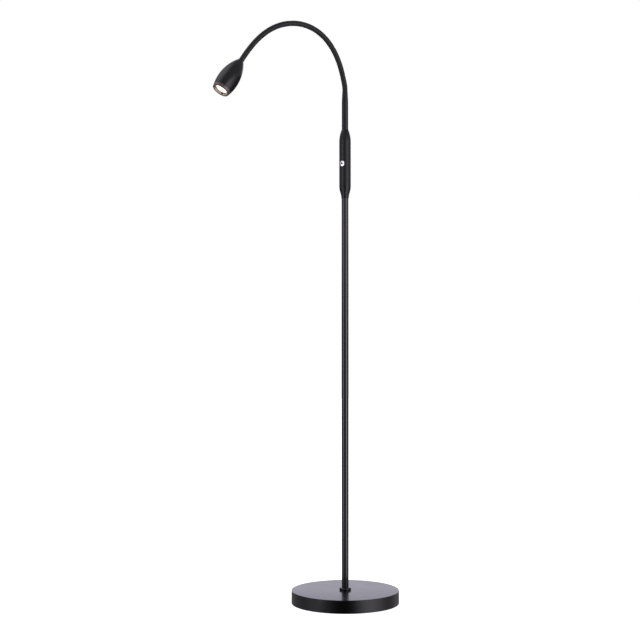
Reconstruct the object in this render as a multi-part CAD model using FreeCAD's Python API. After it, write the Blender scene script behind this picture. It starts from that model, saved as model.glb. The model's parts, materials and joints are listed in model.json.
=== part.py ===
import FreeCAD, Part
import math
import os

from FreeCAD import Placement, Rotation, Vector

# A gooseneck reading floor lamp, in millimetres.
# +Z is up, and the origin is the centre of the base's underside.
# The neck curls over towards -X, and the push button looks between -X and -Y.

# Round base
BASE_DIAMETER = 250.0
BASE_HEIGHT = 31.0
COVER_WALL = 1.5
COVER_EDGE = 1.2          # rounding of the cover's top edge
COVER_LIFT = 1.0          # daylight under the cover's lower edge
PAD_THICKNESS = 2.0
PAD_INSET = 4.0           # the pad stays this far inside the plate's edge
PLATE_THICKNESS = 2.0
PLATE_GAP = 0.5           # around the plate, inside the cover's wall
WEIGHT_GAP = 4.0          # around the weight, inside the cover's wall
WEIGHT_THICKNESS = 12.0
WEIGHT_EDGE = 1.5         # chamfer of the casting
RECESS_DIAMETER = 44.0    # pocket in the weight for the washer and nut
RECESS_DEPTH = 5.0
PILLAR_CIRCLE = 190.0
PILLAR_DIAMETER = 14.0
PILLAR_TURN = 60.0        # first pillar, from +X
PILLARS = 3

# Screws that hold the bottom plate
SCREW_DIAMETER = 4.0
SCREW_LENGTH = 10.0
SCREW_HEAD = 7.6
SCREW_SINK = 1.7          # height of the countersunk head
PAD_HOLE = 11.0

# Where the power lead comes in, on the +X side
INLET_HEIGHT = 10.2
GLAND_BORE = 6.6
GLAND_BARREL = 9.6
GLAND_FLANGE = 14.0
GLAND_FLANGE_THICKNESS = 2.2
GLAND_NUT = 12.0
GLAND_NUT_THICKNESS = 3.0
TERMINAL_LENGTH = 26.0
TERMINAL_WIDTH = 18.0
TERMINAL_HEIGHT = 10.5
TERMINAL_GAP = 25.5       # from its outer end to the cover's wall

# Hollow M10 threads, their nuts, and the inner lead
THREAD_DIAMETER = 10.0
THREAD_BORE = 6.4
NUT_ACROSS = 13.0
NUT_THICKNESS = 4.0
WASHER_DIAMETER = 30.0
WASHER_THICKNESS = 1.5
THREAD_PROUD = 1.0        # a thread stands this far out of its nut
LEAD_DIAMETER = 4.6

# Pole
POLE_DIAMETER = 16.0
POLE_WALL = 1.2
POLE_LENGTH = 917.5
INSERT_LENGTH = 20.0
COLLAR_DIAMETER = 27.2
COLLAR_HEIGHT = 6.0
COLLAR_ROUND = 3.0

# Switch housing
HOUSING_DIAMETER = 27.0
HOUSING_WALL = 2.0
POLE_SOCKET = 8.0         # how far the pole goes into the cap
CAP_HEIGHT = 31.0
CAP_LIP = 0.6             # wall at the cap's lower edge
CAP_WEB = 4.0
CAP_SPIGOT = 8.0
STRAIGHT_HEIGHT = 100.8
SHOULDER_HEIGHT = 28.0
SHOULDER_WEB = 14.0
SHOULDER_PULL = 2.0       # pulls the shoulder's curve out, above its middle

# Push button, on a line out of the housing's axis
BUTTON_TURN = 26.0        # from -X towards -Y
BUTTON_HEIGHT = 79.9      # above the cap's lower edge
BUTTON_DIAMETER = 13.6
BUTTON_FACE = 15.2        # its face, from the housing's axis
BUTTON_EDGE = 0.8
BUTTON_CROWN = 0.5        # how far the face bulges
BUTTON_DIMPLE = 4.4       # diameter of the fingertip dimple in its middle
BUTTON_DIMPLE_DEPTH = 0.5
BUTTON_LENGTH = 5.5
BUTTON_FLANGE = 14.4
BUTTON_FLANGE_THICKNESS = 1.0
BUTTON_STOP_GAP = 0.3
BUTTON_PRESS = 1.5
GUIDE_WALL = 1.2          # at the running bore
GUIDE_FACE = 14.4
SWITCH_SIDE = 13.0
SWITCH_DEPTH = 6.0
SWITCH_FLOOR = 0.8
PLUNGER_DIAMETER = 5.0
PLUNGER_SPARE = 0.6       # left below the plunger when it is pressed
BOARD_OFFSET = -1.5       # the board's front face, from the axis
BOARD_THICKNESS = 1.6
BOARD_WIDTH = 18.0
BOARD_BELOW = 34.0        # board length below and above the button
BOARD_ABOVE = 40.0
CONNECTOR_HEIGHT = 8.0
CONNECTOR_DEPTH = 6.0
CONNECTOR_WIDTH = 9.0
CAPACITOR_DIAMETER = 6.3
CAPACITOR_HEIGHT = 11.0

# Neck ferrule
FERRULE_DIAMETER = 14.9
FERRULE_LENGTH = 63.7
FERRULE_TAPER = 26.0
FERRULE_EDGE = 0.8

# Ribbed neck: equal links with ball ends, each link straight
NECK_DIAMETER = 12.4
RIB_DEPTH = 0.4
RIBS_PER_LINK = 11
RIB_CREST = 0.45          # share of the pitch that is full diameter
LINK_LENGTH = 33.5
JOINT_SWING = 22.0        # how far a link can lean on its neighbour
NECK_BENDS = [10.5, 9.0, 11.0, 14.0, 16.5, 16.5, 15.0, 13.0, 12.5, 11.0, 8.5, 5.5]

# Lamp head, measured from its back along its own axis
HEAD_LENGTH = 87.3
BELLY_LENGTH = 57.0       # from the back to the widest part
HEAD_DIAMETER = 47.8
HEAD_BACK_DIAMETER = 14.0
HEAD_MOUTH_DIAMETER = 38.6
HEAD_WALL = 2.0
HEAD_BACK_WALL = 5.0
RING_LENGTH = 7.0         # the part of the front ring that shows
RING_SPIGOT = 22.0
SPIGOT_DIAMETER = 38.0
SPIGOT_WALL = 1.4
MOUTH_BORE = 35.6
MOUTH_LIP_DEPTH = 5.0     # how deep the lens sits
LIP_BORE = 33.2
LIP_THICKNESS = 0.8
KEY_SLOTS = 4             # for the key that turns the front ring
KEY_SLOT_WIDTH = 4.6
KEY_SLOT_WALL = 1.4       # ring wall left behind a slot
LENS_DIAMETER = 31.6
LENS_FLANGE = 2.5
LENS_BACK_DIAMETER = 12.0
LENS_CUP_DIAMETER = 9.0
LENS_CUP_DEPTH = 3.0
HOLDER_LEDGE = 1.8
HOLDER_LEDGE_WIDTH = 1.2
HOLDER_NOTCH_DEPTH = 2.2  # the holder is notched behind each key slot
HOLDER_LENGTH = 13.0
LED_BOARD_THICKNESS = 1.6
LED_CHIP_DIAMETER = 8.0
LED_CHIP_THICKNESS = 0.8
LED_SCREW_CIRCLE = 22.0
LED_SCREW_DIAMETER = 2.0
LED_SCREW_HEAD = 3.8
LED_SCREW_HEAD_HEIGHT = 1.2
LED_SCREW_LENGTH = 5.0
SINK_BASE = 5.4
SINK_FIN_LENGTH = 12.0
SINK_FIN_DIAMETER = 30.0
SINK_FIN_PITCH = 4.0
SINK_FIN_THICKNESS = 1.3
SINK_FINS = 7
LEAD_OFFSET = 8.5         # the lead's side step behind the heat sink
LEAD_BEND = 25.0
HEAD_NUT_ACROSS = 12.0
HEAD_THREAD = 8.0

# Fits
SNUG = 0.05               # radial, threads and pressed or soldered seats
RUNNING = 0.08            # radial, the button in its guide
BALL_GAP = 0.3            # radial, a neck ball in its socket
SLIP = 0.1                # radial, the collar and the leads

ORIGIN = Vector(0, 0, 0)
X = Vector(1, 0, 0)
Y = Vector(0, 1, 0)
Z = Vector(0, 0, 1)
CUT = 1.0                 # overrun of a cutting tool past a face

# Levels up the stand
plate_bottom = PAD_THICKNESS
plate_top = plate_bottom + PLATE_THICKNESS
cover_inside = BASE_DIAMETER / 2 - COVER_WALL
terminal_reach = cover_inside - TERMINAL_GAP - TERMINAL_LENGTH
weight_top = BASE_HEIGHT - COVER_WALL
weight_bottom = weight_top - WEIGHT_THICKNESS
recess_roof = weight_bottom + RECESS_DEPTH
base_nut_top = recess_roof - WASHER_THICKNESS
base_thread_end = base_nut_top - NUT_THICKNESS - THREAD_PROUD
pole_top = BASE_HEIGHT + POLE_LENGTH
housing_bottom = pole_top - POLE_SOCKET
cap_top = housing_bottom + CAP_HEIGHT
straight_top = cap_top + STRAIGHT_HEIGHT
housing_top = straight_top + SHOULDER_HEIGHT
button_level = housing_bottom + BUTTON_HEIGHT
ferrule_top = housing_top + FERRULE_LENGTH
neck_start = ferrule_top + FERRULE_TAPER
thread_radius = THREAD_DIAMETER / 2
lead_radius = LEAD_DIAMETER / 2
lead_bore = lead_radius + SNUG

# Neck ball and socket, from the joint's centre
ball_radius = NECK_DIAMETER / 2 - RIB_DEPTH
socket_radius = ball_radius + BALL_GAP
rim_station = socket_radius * math.sin(math.radians(JOINT_SWING))
ball_mouth = math.sqrt(ball_radius ** 2 - lead_bore ** 2)

# Stations along the head
seam = HEAD_LENGTH - RING_LENGTH
lip_front = HEAD_LENGTH - MOUTH_LIP_DEPTH
lip_back = lip_front - LIP_THICKNESS
led_board_front = lip_back - HOLDER_LENGTH
led_board_back = led_board_front - LED_BOARD_THICKNESS
sink_base_back = led_board_back - SINK_BASE
sink_back = sink_base_back - SINK_FIN_LENGTH
module_radius = SPIGOT_DIAMETER / 2 - SPIGOT_WALL


def rod(radius, start, end, bore=0.0):
    """Round bar along X, or a tube if it has a bore."""
    bar = Part.makeCylinder(radius, end - start, Vector(start, 0, 0), X)
    if not bore:
        return bar
    drill = Part.makeCylinder(bore, end - start + 2 * CUT, Vector(start - CUT, 0, 0), X)
    return bar.cut(drill)


def edge(*points):
    """Line through two (station, radius) points, arc through three, smooth curve pulled by four."""
    spots = [Vector(station, radius, 0) for station, radius in points]
    if len(spots) == 2:
        return Part.makeLine(*spots)
    if len(spots) == 3:
        return Part.Arc(*spots).toShape()
    curve = Part.BezierCurve()
    curve.setPoles(spots)
    return curve.toShape()


def spun(edges):
    """Solid turned about X from the edges of its half section."""
    return Part.Face(Part.Wire(edges)).revolve(ORIGIN, X, 360)


def turned(points):
    """Solid turned about X from the corners of its half section."""
    return spun([edge(a, b) for a, b in zip(points, points[1:] + points[:1])])


def stand(shape, point=ORIGIN, tilt=0.0):
    """Carry a shape made along X to a point, pointing up and tilted towards -X."""
    moved = shape.copy()
    moved.Placement = Placement(point, Rotation(Y, -90 - tilt))
    return moved


def ball(radius, station):
    """Ball on the X axis, its poles on the axis."""
    return Part.makeSphere(radius, X * station, X, -90, 90, 360)


def cap_arc(tip, bulge, radius):
    """Arc of a shallow dome or dish centred on the axis, from its rim to its tip."""
    sweep = (radius ** 2 + bulge ** 2) / (2 * abs(bulge))
    middle = sweep - math.sqrt(sweep ** 2 - (radius / 2) ** 2)
    side = math.copysign(1, bulge)
    return edge((tip - bulge, radius), (tip - side * middle, radius / 2), (tip, 0))


def hexagon(across, start, end, bore):
    """Nut along X."""
    corner = across / 2 / math.cos(math.radians(30))
    turns = [math.radians(60 * k) for k in range(6)]
    corners = [Vector(start, corner * math.cos(a), corner * math.sin(a)) for a in turns]
    body = Part.Face(Part.makePolygon(corners + corners[:1])).extrude(X * (end - start))
    return body.cut(rod(bore, start - CUT, end + CUT))


def tube_along(wire, radius):
    """Round lead swept along a wire of runs and tangent arcs."""
    start = wire.OrderedEdges[0]
    first = start.firstVertex().Point
    heading = start.tangentAt(start.FirstParameter)
    section = Part.Wire(Part.makeCircle(radius, first, heading))
    return wire.makePipeShell([section], True, False)


def one_solid(shape):
    """The single solid of a boolean's result, with its seams tidied."""
    return shape.removeSplitter().Solids[0]


# ---- base ----

def pillar_spots(level):
    """Centres of the weight's pillars, and of the screws in them."""
    spots = []
    for k in range(PILLARS):
        turn = math.radians(PILLAR_TURN + 360 * k / PILLARS)
        reach = PILLAR_CIRCLE / 2
        spots.append(Vector(reach * math.cos(turn), reach * math.sin(turn), level))
    return spots


def base_pad():
    pad = Part.makeCylinder(cover_inside - PLATE_GAP - PAD_INSET, PAD_THICKNESS)
    for spot in pillar_spots(-CUT):
        pad = pad.cut(Part.makeCylinder(PAD_HOLE / 2, PAD_THICKNESS + 2 * CUT, spot))
    return pad


def sink_cone(spot, clearance):
    """Countersunk head, widest at the plate's underside."""
    wide = SCREW_HEAD / 2 + clearance
    narrow = SCREW_DIAMETER / 2 + clearance
    return Part.makeCone(wide, narrow, SCREW_SINK, spot)


def base_plate():
    plate = Part.makeCylinder(cover_inside - PLATE_GAP, PLATE_THICKNESS, Z * plate_bottom)
    for spot in pillar_spots(plate_bottom):
        hole = Part.makeCylinder(SCREW_DIAMETER / 2 + SNUG, PLATE_THICKNESS + CUT, spot)
        plate = plate.cut(hole).cut(sink_cone(spot, SNUG))
    return plate


def base_screws():
    screws = []
    for spot in pillar_spots(plate_bottom):
        shank = Part.makeCylinder(SCREW_DIAMETER / 2, SCREW_LENGTH, spot)
        screws.append(one_solid(shank.fuse(sink_cone(spot, 0))))
    return Part.makeCompound(screws)


def base_weight():
    """Cast disc under the cover, on three pillars, with a pocket for the washer and nut."""
    radius = cover_inside - WEIGHT_GAP
    flat = radius - WEIGHT_EDGE
    disc = turned([
        (weight_bottom, 0), (weight_bottom, flat), (weight_bottom + WEIGHT_EDGE, radius),
        (weight_top - WEIGHT_EDGE, radius), (weight_top, flat), (weight_top, 0)])
    weight = stand(disc)
    for spot in pillar_spots(plate_top):
        pillar = Part.makeCylinder(PILLAR_DIAMETER / 2, weight_bottom + CUT - plate_top, spot)
        weight = weight.fuse(pillar)
    for spot in pillar_spots(plate_top - CUT):
        weight = weight.cut(Part.makeCylinder(SCREW_DIAMETER / 2 + SNUG, SCREW_LENGTH + CUT, spot))
    pocket = rod(RECESS_DIAMETER / 2, weight_bottom - CUT, recess_roof)
    centre_hole = rod(thread_radius + SNUG, weight_bottom, weight_top + CUT)
    return one_solid(weight.cut(stand(pocket)).cut(stand(centre_hole)))


def base_cover():
    """Drawn steel cover: a flat top, a rounded edge and a plain wall."""
    radius = BASE_DIAMETER / 2
    inside = cover_inside
    round_in = COVER_EDGE * (1 - math.sqrt(0.5))
    hole = thread_radius + SNUG
    shell = stand(spun([
        edge((COVER_LIFT, radius), (BASE_HEIGHT - COVER_EDGE, radius)),
        edge((BASE_HEIGHT - COVER_EDGE, radius),
             (BASE_HEIGHT - round_in, radius - round_in),
             (BASE_HEIGHT, radius - COVER_EDGE)),
        edge((BASE_HEIGHT, radius - COVER_EDGE), (BASE_HEIGHT, hole)),
        edge((BASE_HEIGHT, hole), (weight_top, hole)),
        edge((weight_top, hole), (weight_top, inside)),
        edge((weight_top, inside), (COVER_LIFT, inside)),
        edge((COVER_LIFT, inside), (COVER_LIFT, radius))]))
    start = Vector(inside - COVER_WALL, 0, INLET_HEIGHT)
    return shell.cut(Part.makeCylinder(GLAND_BARREL / 2 + SNUG, 4 * COVER_WALL, start, X))


def cord_gland():
    """Bush in the cover's wall, with its flange outside."""
    radius = BASE_DIAMETER / 2
    inner_end = cover_inside - GLAND_NUT_THICKNESS - 2 * COVER_WALL
    flange = rod(GLAND_FLANGE / 2, radius, radius + GLAND_FLANGE_THICKNESS)
    bush = rod(GLAND_BARREL / 2, inner_end, radius + CUT).fuse(flange)
    bush = bush.cut(rod(GLAND_BORE / 2, inner_end - CUT, radius + GLAND_FLANGE_THICKNESS + CUT))
    bush = one_solid(bush)
    bush.translate(Z * INLET_HEIGHT)
    return bush


def gland_nut():
    """Round nut on the bush, against the wall from inside."""
    seat = math.sqrt(cover_inside ** 2 - (GLAND_NUT / 2) ** 2) - SLIP
    nut = rod(GLAND_NUT / 2, seat - GLAND_NUT_THICKNESS, seat, GLAND_BARREL / 2 + SNUG)
    nut.translate(Z * INLET_HEIGHT)
    return nut


def terminal_block():
    """Screw terminal on the plate, with two clamp pockets in its top."""
    corner = Vector(terminal_reach, -TERMINAL_WIDTH / 2, plate_top)
    block = Part.makeBox(TERMINAL_LENGTH, TERMINAL_WIDTH, TERMINAL_HEIGHT, corner)
    top = plate_top + TERMINAL_HEIGHT
    for side in (-1, 1):
        for share in (0.25, 0.75):
            spot = Vector(terminal_reach + share * TERMINAL_LENGTH,
                          side * TERMINAL_WIDTH / 4, top - TERMINAL_HEIGHT / 2)
            block = block.cut(Part.makeCylinder(TERMINAL_WIDTH / 8, TERMINAL_HEIGHT, spot))
    return block


def base_nipple():
    end = BASE_HEIGHT + INSERT_LENGTH - THREAD_PROUD
    return stand(rod(thread_radius, base_thread_end, end, THREAD_BORE / 2))


def base_washer():
    return stand(rod(WASHER_DIAMETER / 2, base_nut_top, recess_roof, thread_radius + SNUG))


# ---- pole ----

def pole_collar():
    """Low rounded ring round the pole's foot."""
    outer = COLLAR_DIAMETER / 2
    inner = POLE_DIAMETER / 2 + SLIP
    top = BASE_HEIGHT + COLLAR_HEIGHT
    round_in = COLLAR_ROUND * (1 - math.sqrt(0.5))
    return stand(spun([
        edge((BASE_HEIGHT, inner), (BASE_HEIGHT, outer)),
        edge((BASE_HEIGHT, outer), (top - COLLAR_ROUND, outer)),
        edge((top - COLLAR_ROUND, outer), (top - round_in, outer - round_in),
             (top, outer - COLLAR_ROUND)),
        edge((top, outer - COLLAR_ROUND), (top, inner)),
        edge((top, inner), (BASE_HEIGHT, inner))]))


def pole_tube():
    return stand(rod(POLE_DIAMETER / 2, BASE_HEIGHT, pole_top, POLE_DIAMETER / 2 - POLE_WALL))


def pole_inserts():
    """Threaded plugs pressed into both ends of the pole."""
    radius = POLE_DIAMETER / 2 - POLE_WALL - SNUG
    low = rod(radius, BASE_HEIGHT, BASE_HEIGHT + INSERT_LENGTH, thread_radius + SNUG)
    high = rod(radius, pole_top - INSERT_LENGTH, pole_top, thread_radius + SNUG)
    return Part.makeCompound([stand(low), stand(high)])


def pole_lead():
    """Sheathed lead from the terminal block, up the pole, to the lower connector."""
    level = plate_top + lead_radius + SLIP
    bend = base_thread_end - level
    corner = bend * (1 - math.sqrt(0.5))
    top = button_level - BOARD_BELOW
    wire = Part.Wire([
        Part.makeLine(Vector(terminal_reach, 0, level), Vector(bend, 0, level)),
        Part.Arc(Vector(bend, 0, level), Vector(corner, 0, level + corner),
                 Vector(0, 0, level + bend)).toShape(),
        Part.makeLine(Vector(0, 0, level + bend), Vector(0, 0, top))])
    return tube_along(wire, lead_radius)


# ---- switch housing ----

def housing_nipple():
    start = pole_top - INSERT_LENGTH + THREAD_PROUD
    end = pole_top + CAP_WEB + NUT_THICKNESS + THREAD_PROUD
    return stand(rod(thread_radius, start, end, THREAD_BORE / 2))


def thread_nuts():
    """Equal nuts: under the weight, in the cap and under the housing's shoulder."""
    shoulder_seat = housing_top - SHOULDER_WEB
    nuts = []
    for bottom in (base_nut_top - NUT_THICKNESS, pole_top + CAP_WEB, shoulder_seat - NUT_THICKNESS):
        nuts.append(stand(hexagon(NUT_ACROSS, bottom, bottom + NUT_THICKNESS, thread_radius + SNUG)))
    return Part.makeCompound(nuts)


def housing_cap():
    """Lower cap: its outside swells from the pole to the housing's full width."""
    outer = HOUSING_DIAMETER / 2
    socket = POLE_DIAMETER / 2 + SNUG
    lip = socket + CAP_LIP
    spigot = outer - HOUSING_WALL - SNUG
    inner = spigot - HOUSING_WALL
    hole = thread_radius + SNUG
    web_top = pole_top + CAP_WEB
    nut_room = NUT_ACROSS / 2 / math.cos(math.radians(30)) + SNUG
    swell = CAP_HEIGHT / 2
    return stand(spun([
        edge((housing_bottom, lip), (housing_bottom + 0.77 * swell, lip),
             (cap_top - swell, outer), (cap_top, outer)),
        edge((cap_top, outer), (cap_top, spigot)),
        edge((cap_top, spigot), (cap_top + CAP_SPIGOT, spigot)),
        edge((cap_top + CAP_SPIGOT, spigot), (cap_top + CAP_SPIGOT, inner)),
        edge((cap_top + CAP_SPIGOT, inner), (web_top + 2 * NUT_THICKNESS, inner)),
        edge((web_top + 2 * NUT_THICKNESS, inner), (web_top, nut_room)),
        edge((web_top, nut_room), (web_top, hole)),
        edge((web_top, hole), (pole_top, hole)),
        edge((pole_top, hole), (pole_top, socket)),
        edge((pole_top, socket), (housing_bottom, socket)),
        edge((housing_bottom, socket), (housing_bottom, lip))]))


def facing(shape):
    """Carry a shape made along X, out of the axis, to the button's place."""
    moved = shape.copy()
    moved.Placement = Placement(Z * button_level, Rotation(Z, 180 + BUTTON_TURN))
    return moved


def guide_radius():
    return BUTTON_DIAMETER / 2 + RUNNING + GUIDE_WALL


def housing_body():
    """Straight tube with a domed shoulder and the hole for the button's guide."""
    outer = HOUSING_DIAMETER / 2
    inner = outer - HOUSING_WALL
    top = FERRULE_DIAMETER / 2 + SLIP
    hole = thread_radius + SNUG
    web = housing_top - SHOULDER_WEB
    nut_room = NUT_ACROSS / 2 / math.cos(math.radians(30)) + HOUSING_WALL / 2
    body = stand(spun([
        edge((cap_top, outer), (straight_top, outer)),
        edge((straight_top, outer), (straight_top + 0.43 * SHOULDER_HEIGHT, outer),
             (housing_top - 0.18 * SHOULDER_HEIGHT, top + SHOULDER_PULL), (housing_top, top)),
        edge((housing_top, top), (housing_top, hole)),
        edge((housing_top, hole), (web, hole)),
        edge((web, hole), (web, nut_room)),
        edge((web, nut_room), (straight_top, inner)),
        edge((straight_top, inner), (cap_top, inner)),
        edge((cap_top, inner), (cap_top, outer))]))
    return body.cut(facing(rod(guide_radius() + SNUG, 0, 2 * outer)))


def board_box(back, front, low, high, width):
    """Box on the board, between two distances from the axis and two levels from the button."""
    box = Part.makeBox(front - back, width, high - low, Vector(back, -width / 2, low))
    return facing(box)


def dimmer_board():
    back = BOARD_OFFSET - BOARD_THICKNESS
    return board_box(back, BOARD_OFFSET, -BOARD_BELOW, BOARD_ABOVE, BOARD_WIDTH)


def board_parts():
    """Two lead connectors and the chips on the front, two capacitors on the back."""
    front = BOARD_OFFSET + CONNECTOR_DEPTH
    low = -BOARD_BELOW
    high = BOARD_ABOVE
    parts = [
        board_box(BOARD_OFFSET, front, low, low + CONNECTOR_HEIGHT, CONNECTOR_WIDTH),
        board_box(BOARD_OFFSET, front, high - CONNECTOR_HEIGHT, high, CONNECTOR_WIDTH),
        board_box(BOARD_OFFSET, BOARD_OFFSET + BOARD_THICKNESS, high / 2, high / 2 + CONNECTOR_HEIGHT,
                  CONNECTOR_WIDTH)]
    reach = BOARD_OFFSET - BOARD_THICKNESS - CAPACITOR_DIAMETER / 2
    for level in (low / 2 - CAPACITOR_HEIGHT / 2, high / 2 - CAPACITOR_HEIGHT / 2):
        can = Part.makeCylinder(CAPACITOR_DIAMETER / 2, CAPACITOR_HEIGHT, Vector(reach, 0, level))
        parts.append(facing(can))
    return Part.makeCompound(parts)


def button_levels():
    """Distances from the axis: switch front, cap flange back and front, plunger's inner end."""
    switch_front = BOARD_OFFSET + SWITCH_DEPTH
    flange_back = BUTTON_FACE - BUTTON_LENGTH - BUTTON_FLANGE_THICKNESS
    flange_front = BUTTON_FACE - BUTTON_LENGTH
    plunger_end = BOARD_OFFSET + SWITCH_FLOOR + PLUNGER_SPARE + BUTTON_PRESS
    return switch_front, flange_back, flange_front, plunger_end


def switch_body():
    """Square push switch soldered to the board, with a bore for its plunger."""
    switch_front, _, _, _ = button_levels()
    half = SWITCH_SIDE / 2
    block = Part.makeBox(SWITCH_DEPTH, SWITCH_SIDE, SWITCH_SIDE, Vector(BOARD_OFFSET, -half, -half))
    bore = rod(PLUNGER_DIAMETER / 2 + RUNNING, BOARD_OFFSET + SWITCH_FLOOR, switch_front + CUT)
    return facing(block.cut(bore))


def button_guide():
    """Bush in the housing's wall. The step inside it keeps the button's flange in."""
    switch_front, _, flange_front, _ = button_levels()
    outer = guide_radius()
    running = BUTTON_DIAMETER / 2 + RUNNING
    flange_room = BUTTON_FLANGE / 2 + RUNNING
    step = flange_front + BUTTON_STOP_GAP
    return facing(turned([
        (switch_front, flange_room), (step, flange_room), (step, running), (GUIDE_FACE, running),
        (GUIDE_FACE, outer), (switch_front, outer)]))


def switch_plunger():
    _, flange_back, _, plunger_end = button_levels()
    return facing(rod(PLUNGER_DIAMETER / 2, plunger_end, flange_back))


def button_cap():
    """Turned button: rounded edge, crowned face with a dimple, and a stop flange behind."""
    _, flange_back, flange_front, _ = button_levels()
    radius = BUTTON_DIAMETER / 2
    flange = BUTTON_FLANGE / 2
    rim = BUTTON_FACE - BUTTON_CROWN
    round_in = BUTTON_EDGE * (1 - math.sqrt(0.5))
    flat = radius - BUTTON_EDGE
    button = spun([
        edge((flange_back, 0), (flange_back, flange)),
        edge((flange_back, flange), (flange_front, flange)),
        edge((flange_front, flange), (flange_front, radius)),
        edge((flange_front, radius), (rim - BUTTON_EDGE, radius)),
        edge((rim - BUTTON_EDGE, radius), (rim - round_in, radius - round_in), (rim, flat)),
        cap_arc(BUTTON_FACE, BUTTON_CROWN, flat),
        edge((BUTTON_FACE, 0), (flange_back, 0))])
    dish = BUTTON_DIMPLE / 2
    sweep = (dish ** 2 + BUTTON_DIMPLE_DEPTH ** 2) / (2 * BUTTON_DIMPLE_DEPTH)
    return facing(button.cut(ball(sweep, BUTTON_FACE - BUTTON_DIMPLE_DEPTH + sweep)))


# ---- neck ----

def neck_ferrule():
    """Turned sleeve: thread into the housing, straight, taper, and the first ball."""
    radius = FERRULE_DIAMETER / 2
    crest = NECK_DIAMETER / 2
    thread_end = housing_top - SHOULDER_WEB - NUT_THICKNESS - THREAD_PROUD
    sleeve = turned([
        (thread_end, 0), (thread_end, thread_radius), (housing_top, thread_radius),
        (housing_top, radius - FERRULE_EDGE), (housing_top + FERRULE_EDGE, radius),
        (ferrule_top, radius), (neck_start - FERRULE_EDGE, crest), (neck_start, ball_radius),
        (neck_start, 0)])
    sleeve = sleeve.fuse(ball(ball_radius, neck_start))
    end = neck_start + NECK_DIAMETER
    return stand(one_solid(sleeve.cut(rod(lead_bore, thread_end - CUT, end))))


def ferrule_lead():
    """Lead from the upper connector to the neck's first joint."""
    return stand(rod(lead_radius, button_level + BOARD_ABOVE, neck_start + ball_mouth - SLIP))


def ribs(start, end):
    """Ruled loft along X: each rib has four circles, two at the root and two at its crest."""
    crest = NECK_DIAMETER / 2
    pitch = (end - start) / RIBS_PER_LINK
    flank = pitch * (1 - RIB_CREST) / 2
    rings = [(start, ball_radius)]
    for k in range(RIBS_PER_LINK):
        root = start + k * pitch
        rings.append((root + flank, crest))
        rings.append((root + pitch - flank, crest))
        rings.append((root + pitch, ball_radius))
    circles = [Part.Wire(Part.makeCircle(radius, X * station, X)) for station, radius in rings]
    return Part.makeLoft(circles, True, True)


def neck_link(last):
    """One link along X: ribbed sleeve, socket at its near end, ball or thread at its far end."""
    link = ribs(rim_station, LINK_LENGTH)
    if last:
        end = LINK_LENGTH + HEAD_BACK_WALL + NUT_THICKNESS + THREAD_PROUD
        link = link.fuse(rod(HEAD_THREAD / 2, LINK_LENGTH - CUT, end))
    else:
        end = LINK_LENGTH + ball_radius
        link = link.fuse(ball(ball_radius, LINK_LENGTH))
    link = link.cut(ball(socket_radius, 0))
    return one_solid(link.cut(rod(lead_bore, -CUT, end + CUT)))


def neck_lead():
    """Short length of the lead inside one link."""
    return rod(lead_radius, socket_radius + SLIP, LINK_LENGTH + ball_mouth - SLIP)


def link_places():
    """Start point and tilt of each link, and last the head's."""
    point = Z * neck_start
    tilt = 0.0
    places = []
    for bend in NECK_BENDS:
        tilt += bend
        places.append((point, tilt))
        lean = math.radians(tilt)
        point = point + Vector(-math.sin(lean), 0, math.cos(lean)) * LINK_LENGTH
    places.append((point, tilt))
    return places


# ---- head, along X from its back ----

def head_radius(station, inset=0.0):
    """Outside of the head: one arc from the back to the belly and one on to the mouth."""
    belly = HEAD_DIAMETER / 2
    if station < BELLY_LENGTH:
        run, drop = BELLY_LENGTH, belly - HEAD_BACK_DIAMETER / 2
    else:
        run, drop = HEAD_LENGTH - BELLY_LENGTH, belly - HEAD_MOUTH_DIAMETER / 2
    sweep = (run ** 2 + drop ** 2) / (2 * drop)
    reach = math.sqrt((sweep - inset) ** 2 - (station - BELLY_LENGTH) ** 2)
    return belly - sweep + reach


def head_arc(start, end, inset=0.0):
    """Arc edge of the outside, or of the inside at an inset, between two stations."""
    middle = (start + end) / 2
    return edge(*[(station, head_radius(station, inset)) for station in (start, middle, end)])


def head_shell():
    """Thin turned shell, thick at its back, bored in front for the ring's spigot."""
    bore = SPIGOT_DIAMETER / 2 + SNUG
    hole = HEAD_THREAD / 2 + SNUG
    back = HEAD_BACK_WALL
    step = seam - RING_SPIGOT
    inside_back = head_radius(back, HEAD_WALL)
    return spun([
        edge((0, hole), (0, head_radius(0))),
        head_arc(0, BELLY_LENGTH),
        head_arc(BELLY_LENGTH, seam),
        edge((seam, head_radius(seam)), (seam, bore)),
        edge((seam, bore), (step, bore)),
        edge((step, bore), (step, head_radius(step, HEAD_WALL))),
        head_arc(step, back, HEAD_WALL),
        edge((back, inside_back), (back, hole)),
        edge((back, hole), (0, hole))])


def head_nut():
    start = HEAD_BACK_WALL
    return hexagon(HEAD_NUT_ACROSS, start, start + NUT_THICKNESS, HEAD_THREAD / 2 + SNUG)


def cut_key_slots(shape, start, reach):
    """Cut the key slots along X from a station forward, out to a distance from the axis."""
    for k in range(KEY_SLOTS):
        corner = Vector(start, 0, -KEY_SLOT_WIDTH / 2)
        slot = Part.makeBox(HEAD_LENGTH, reach, KEY_SLOT_WIDTH, corner)
        slot.rotate(ORIGIN, X, 360 * (k + 0.5) / KEY_SLOTS)
        shape = shape.cut(slot)
    return shape


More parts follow.
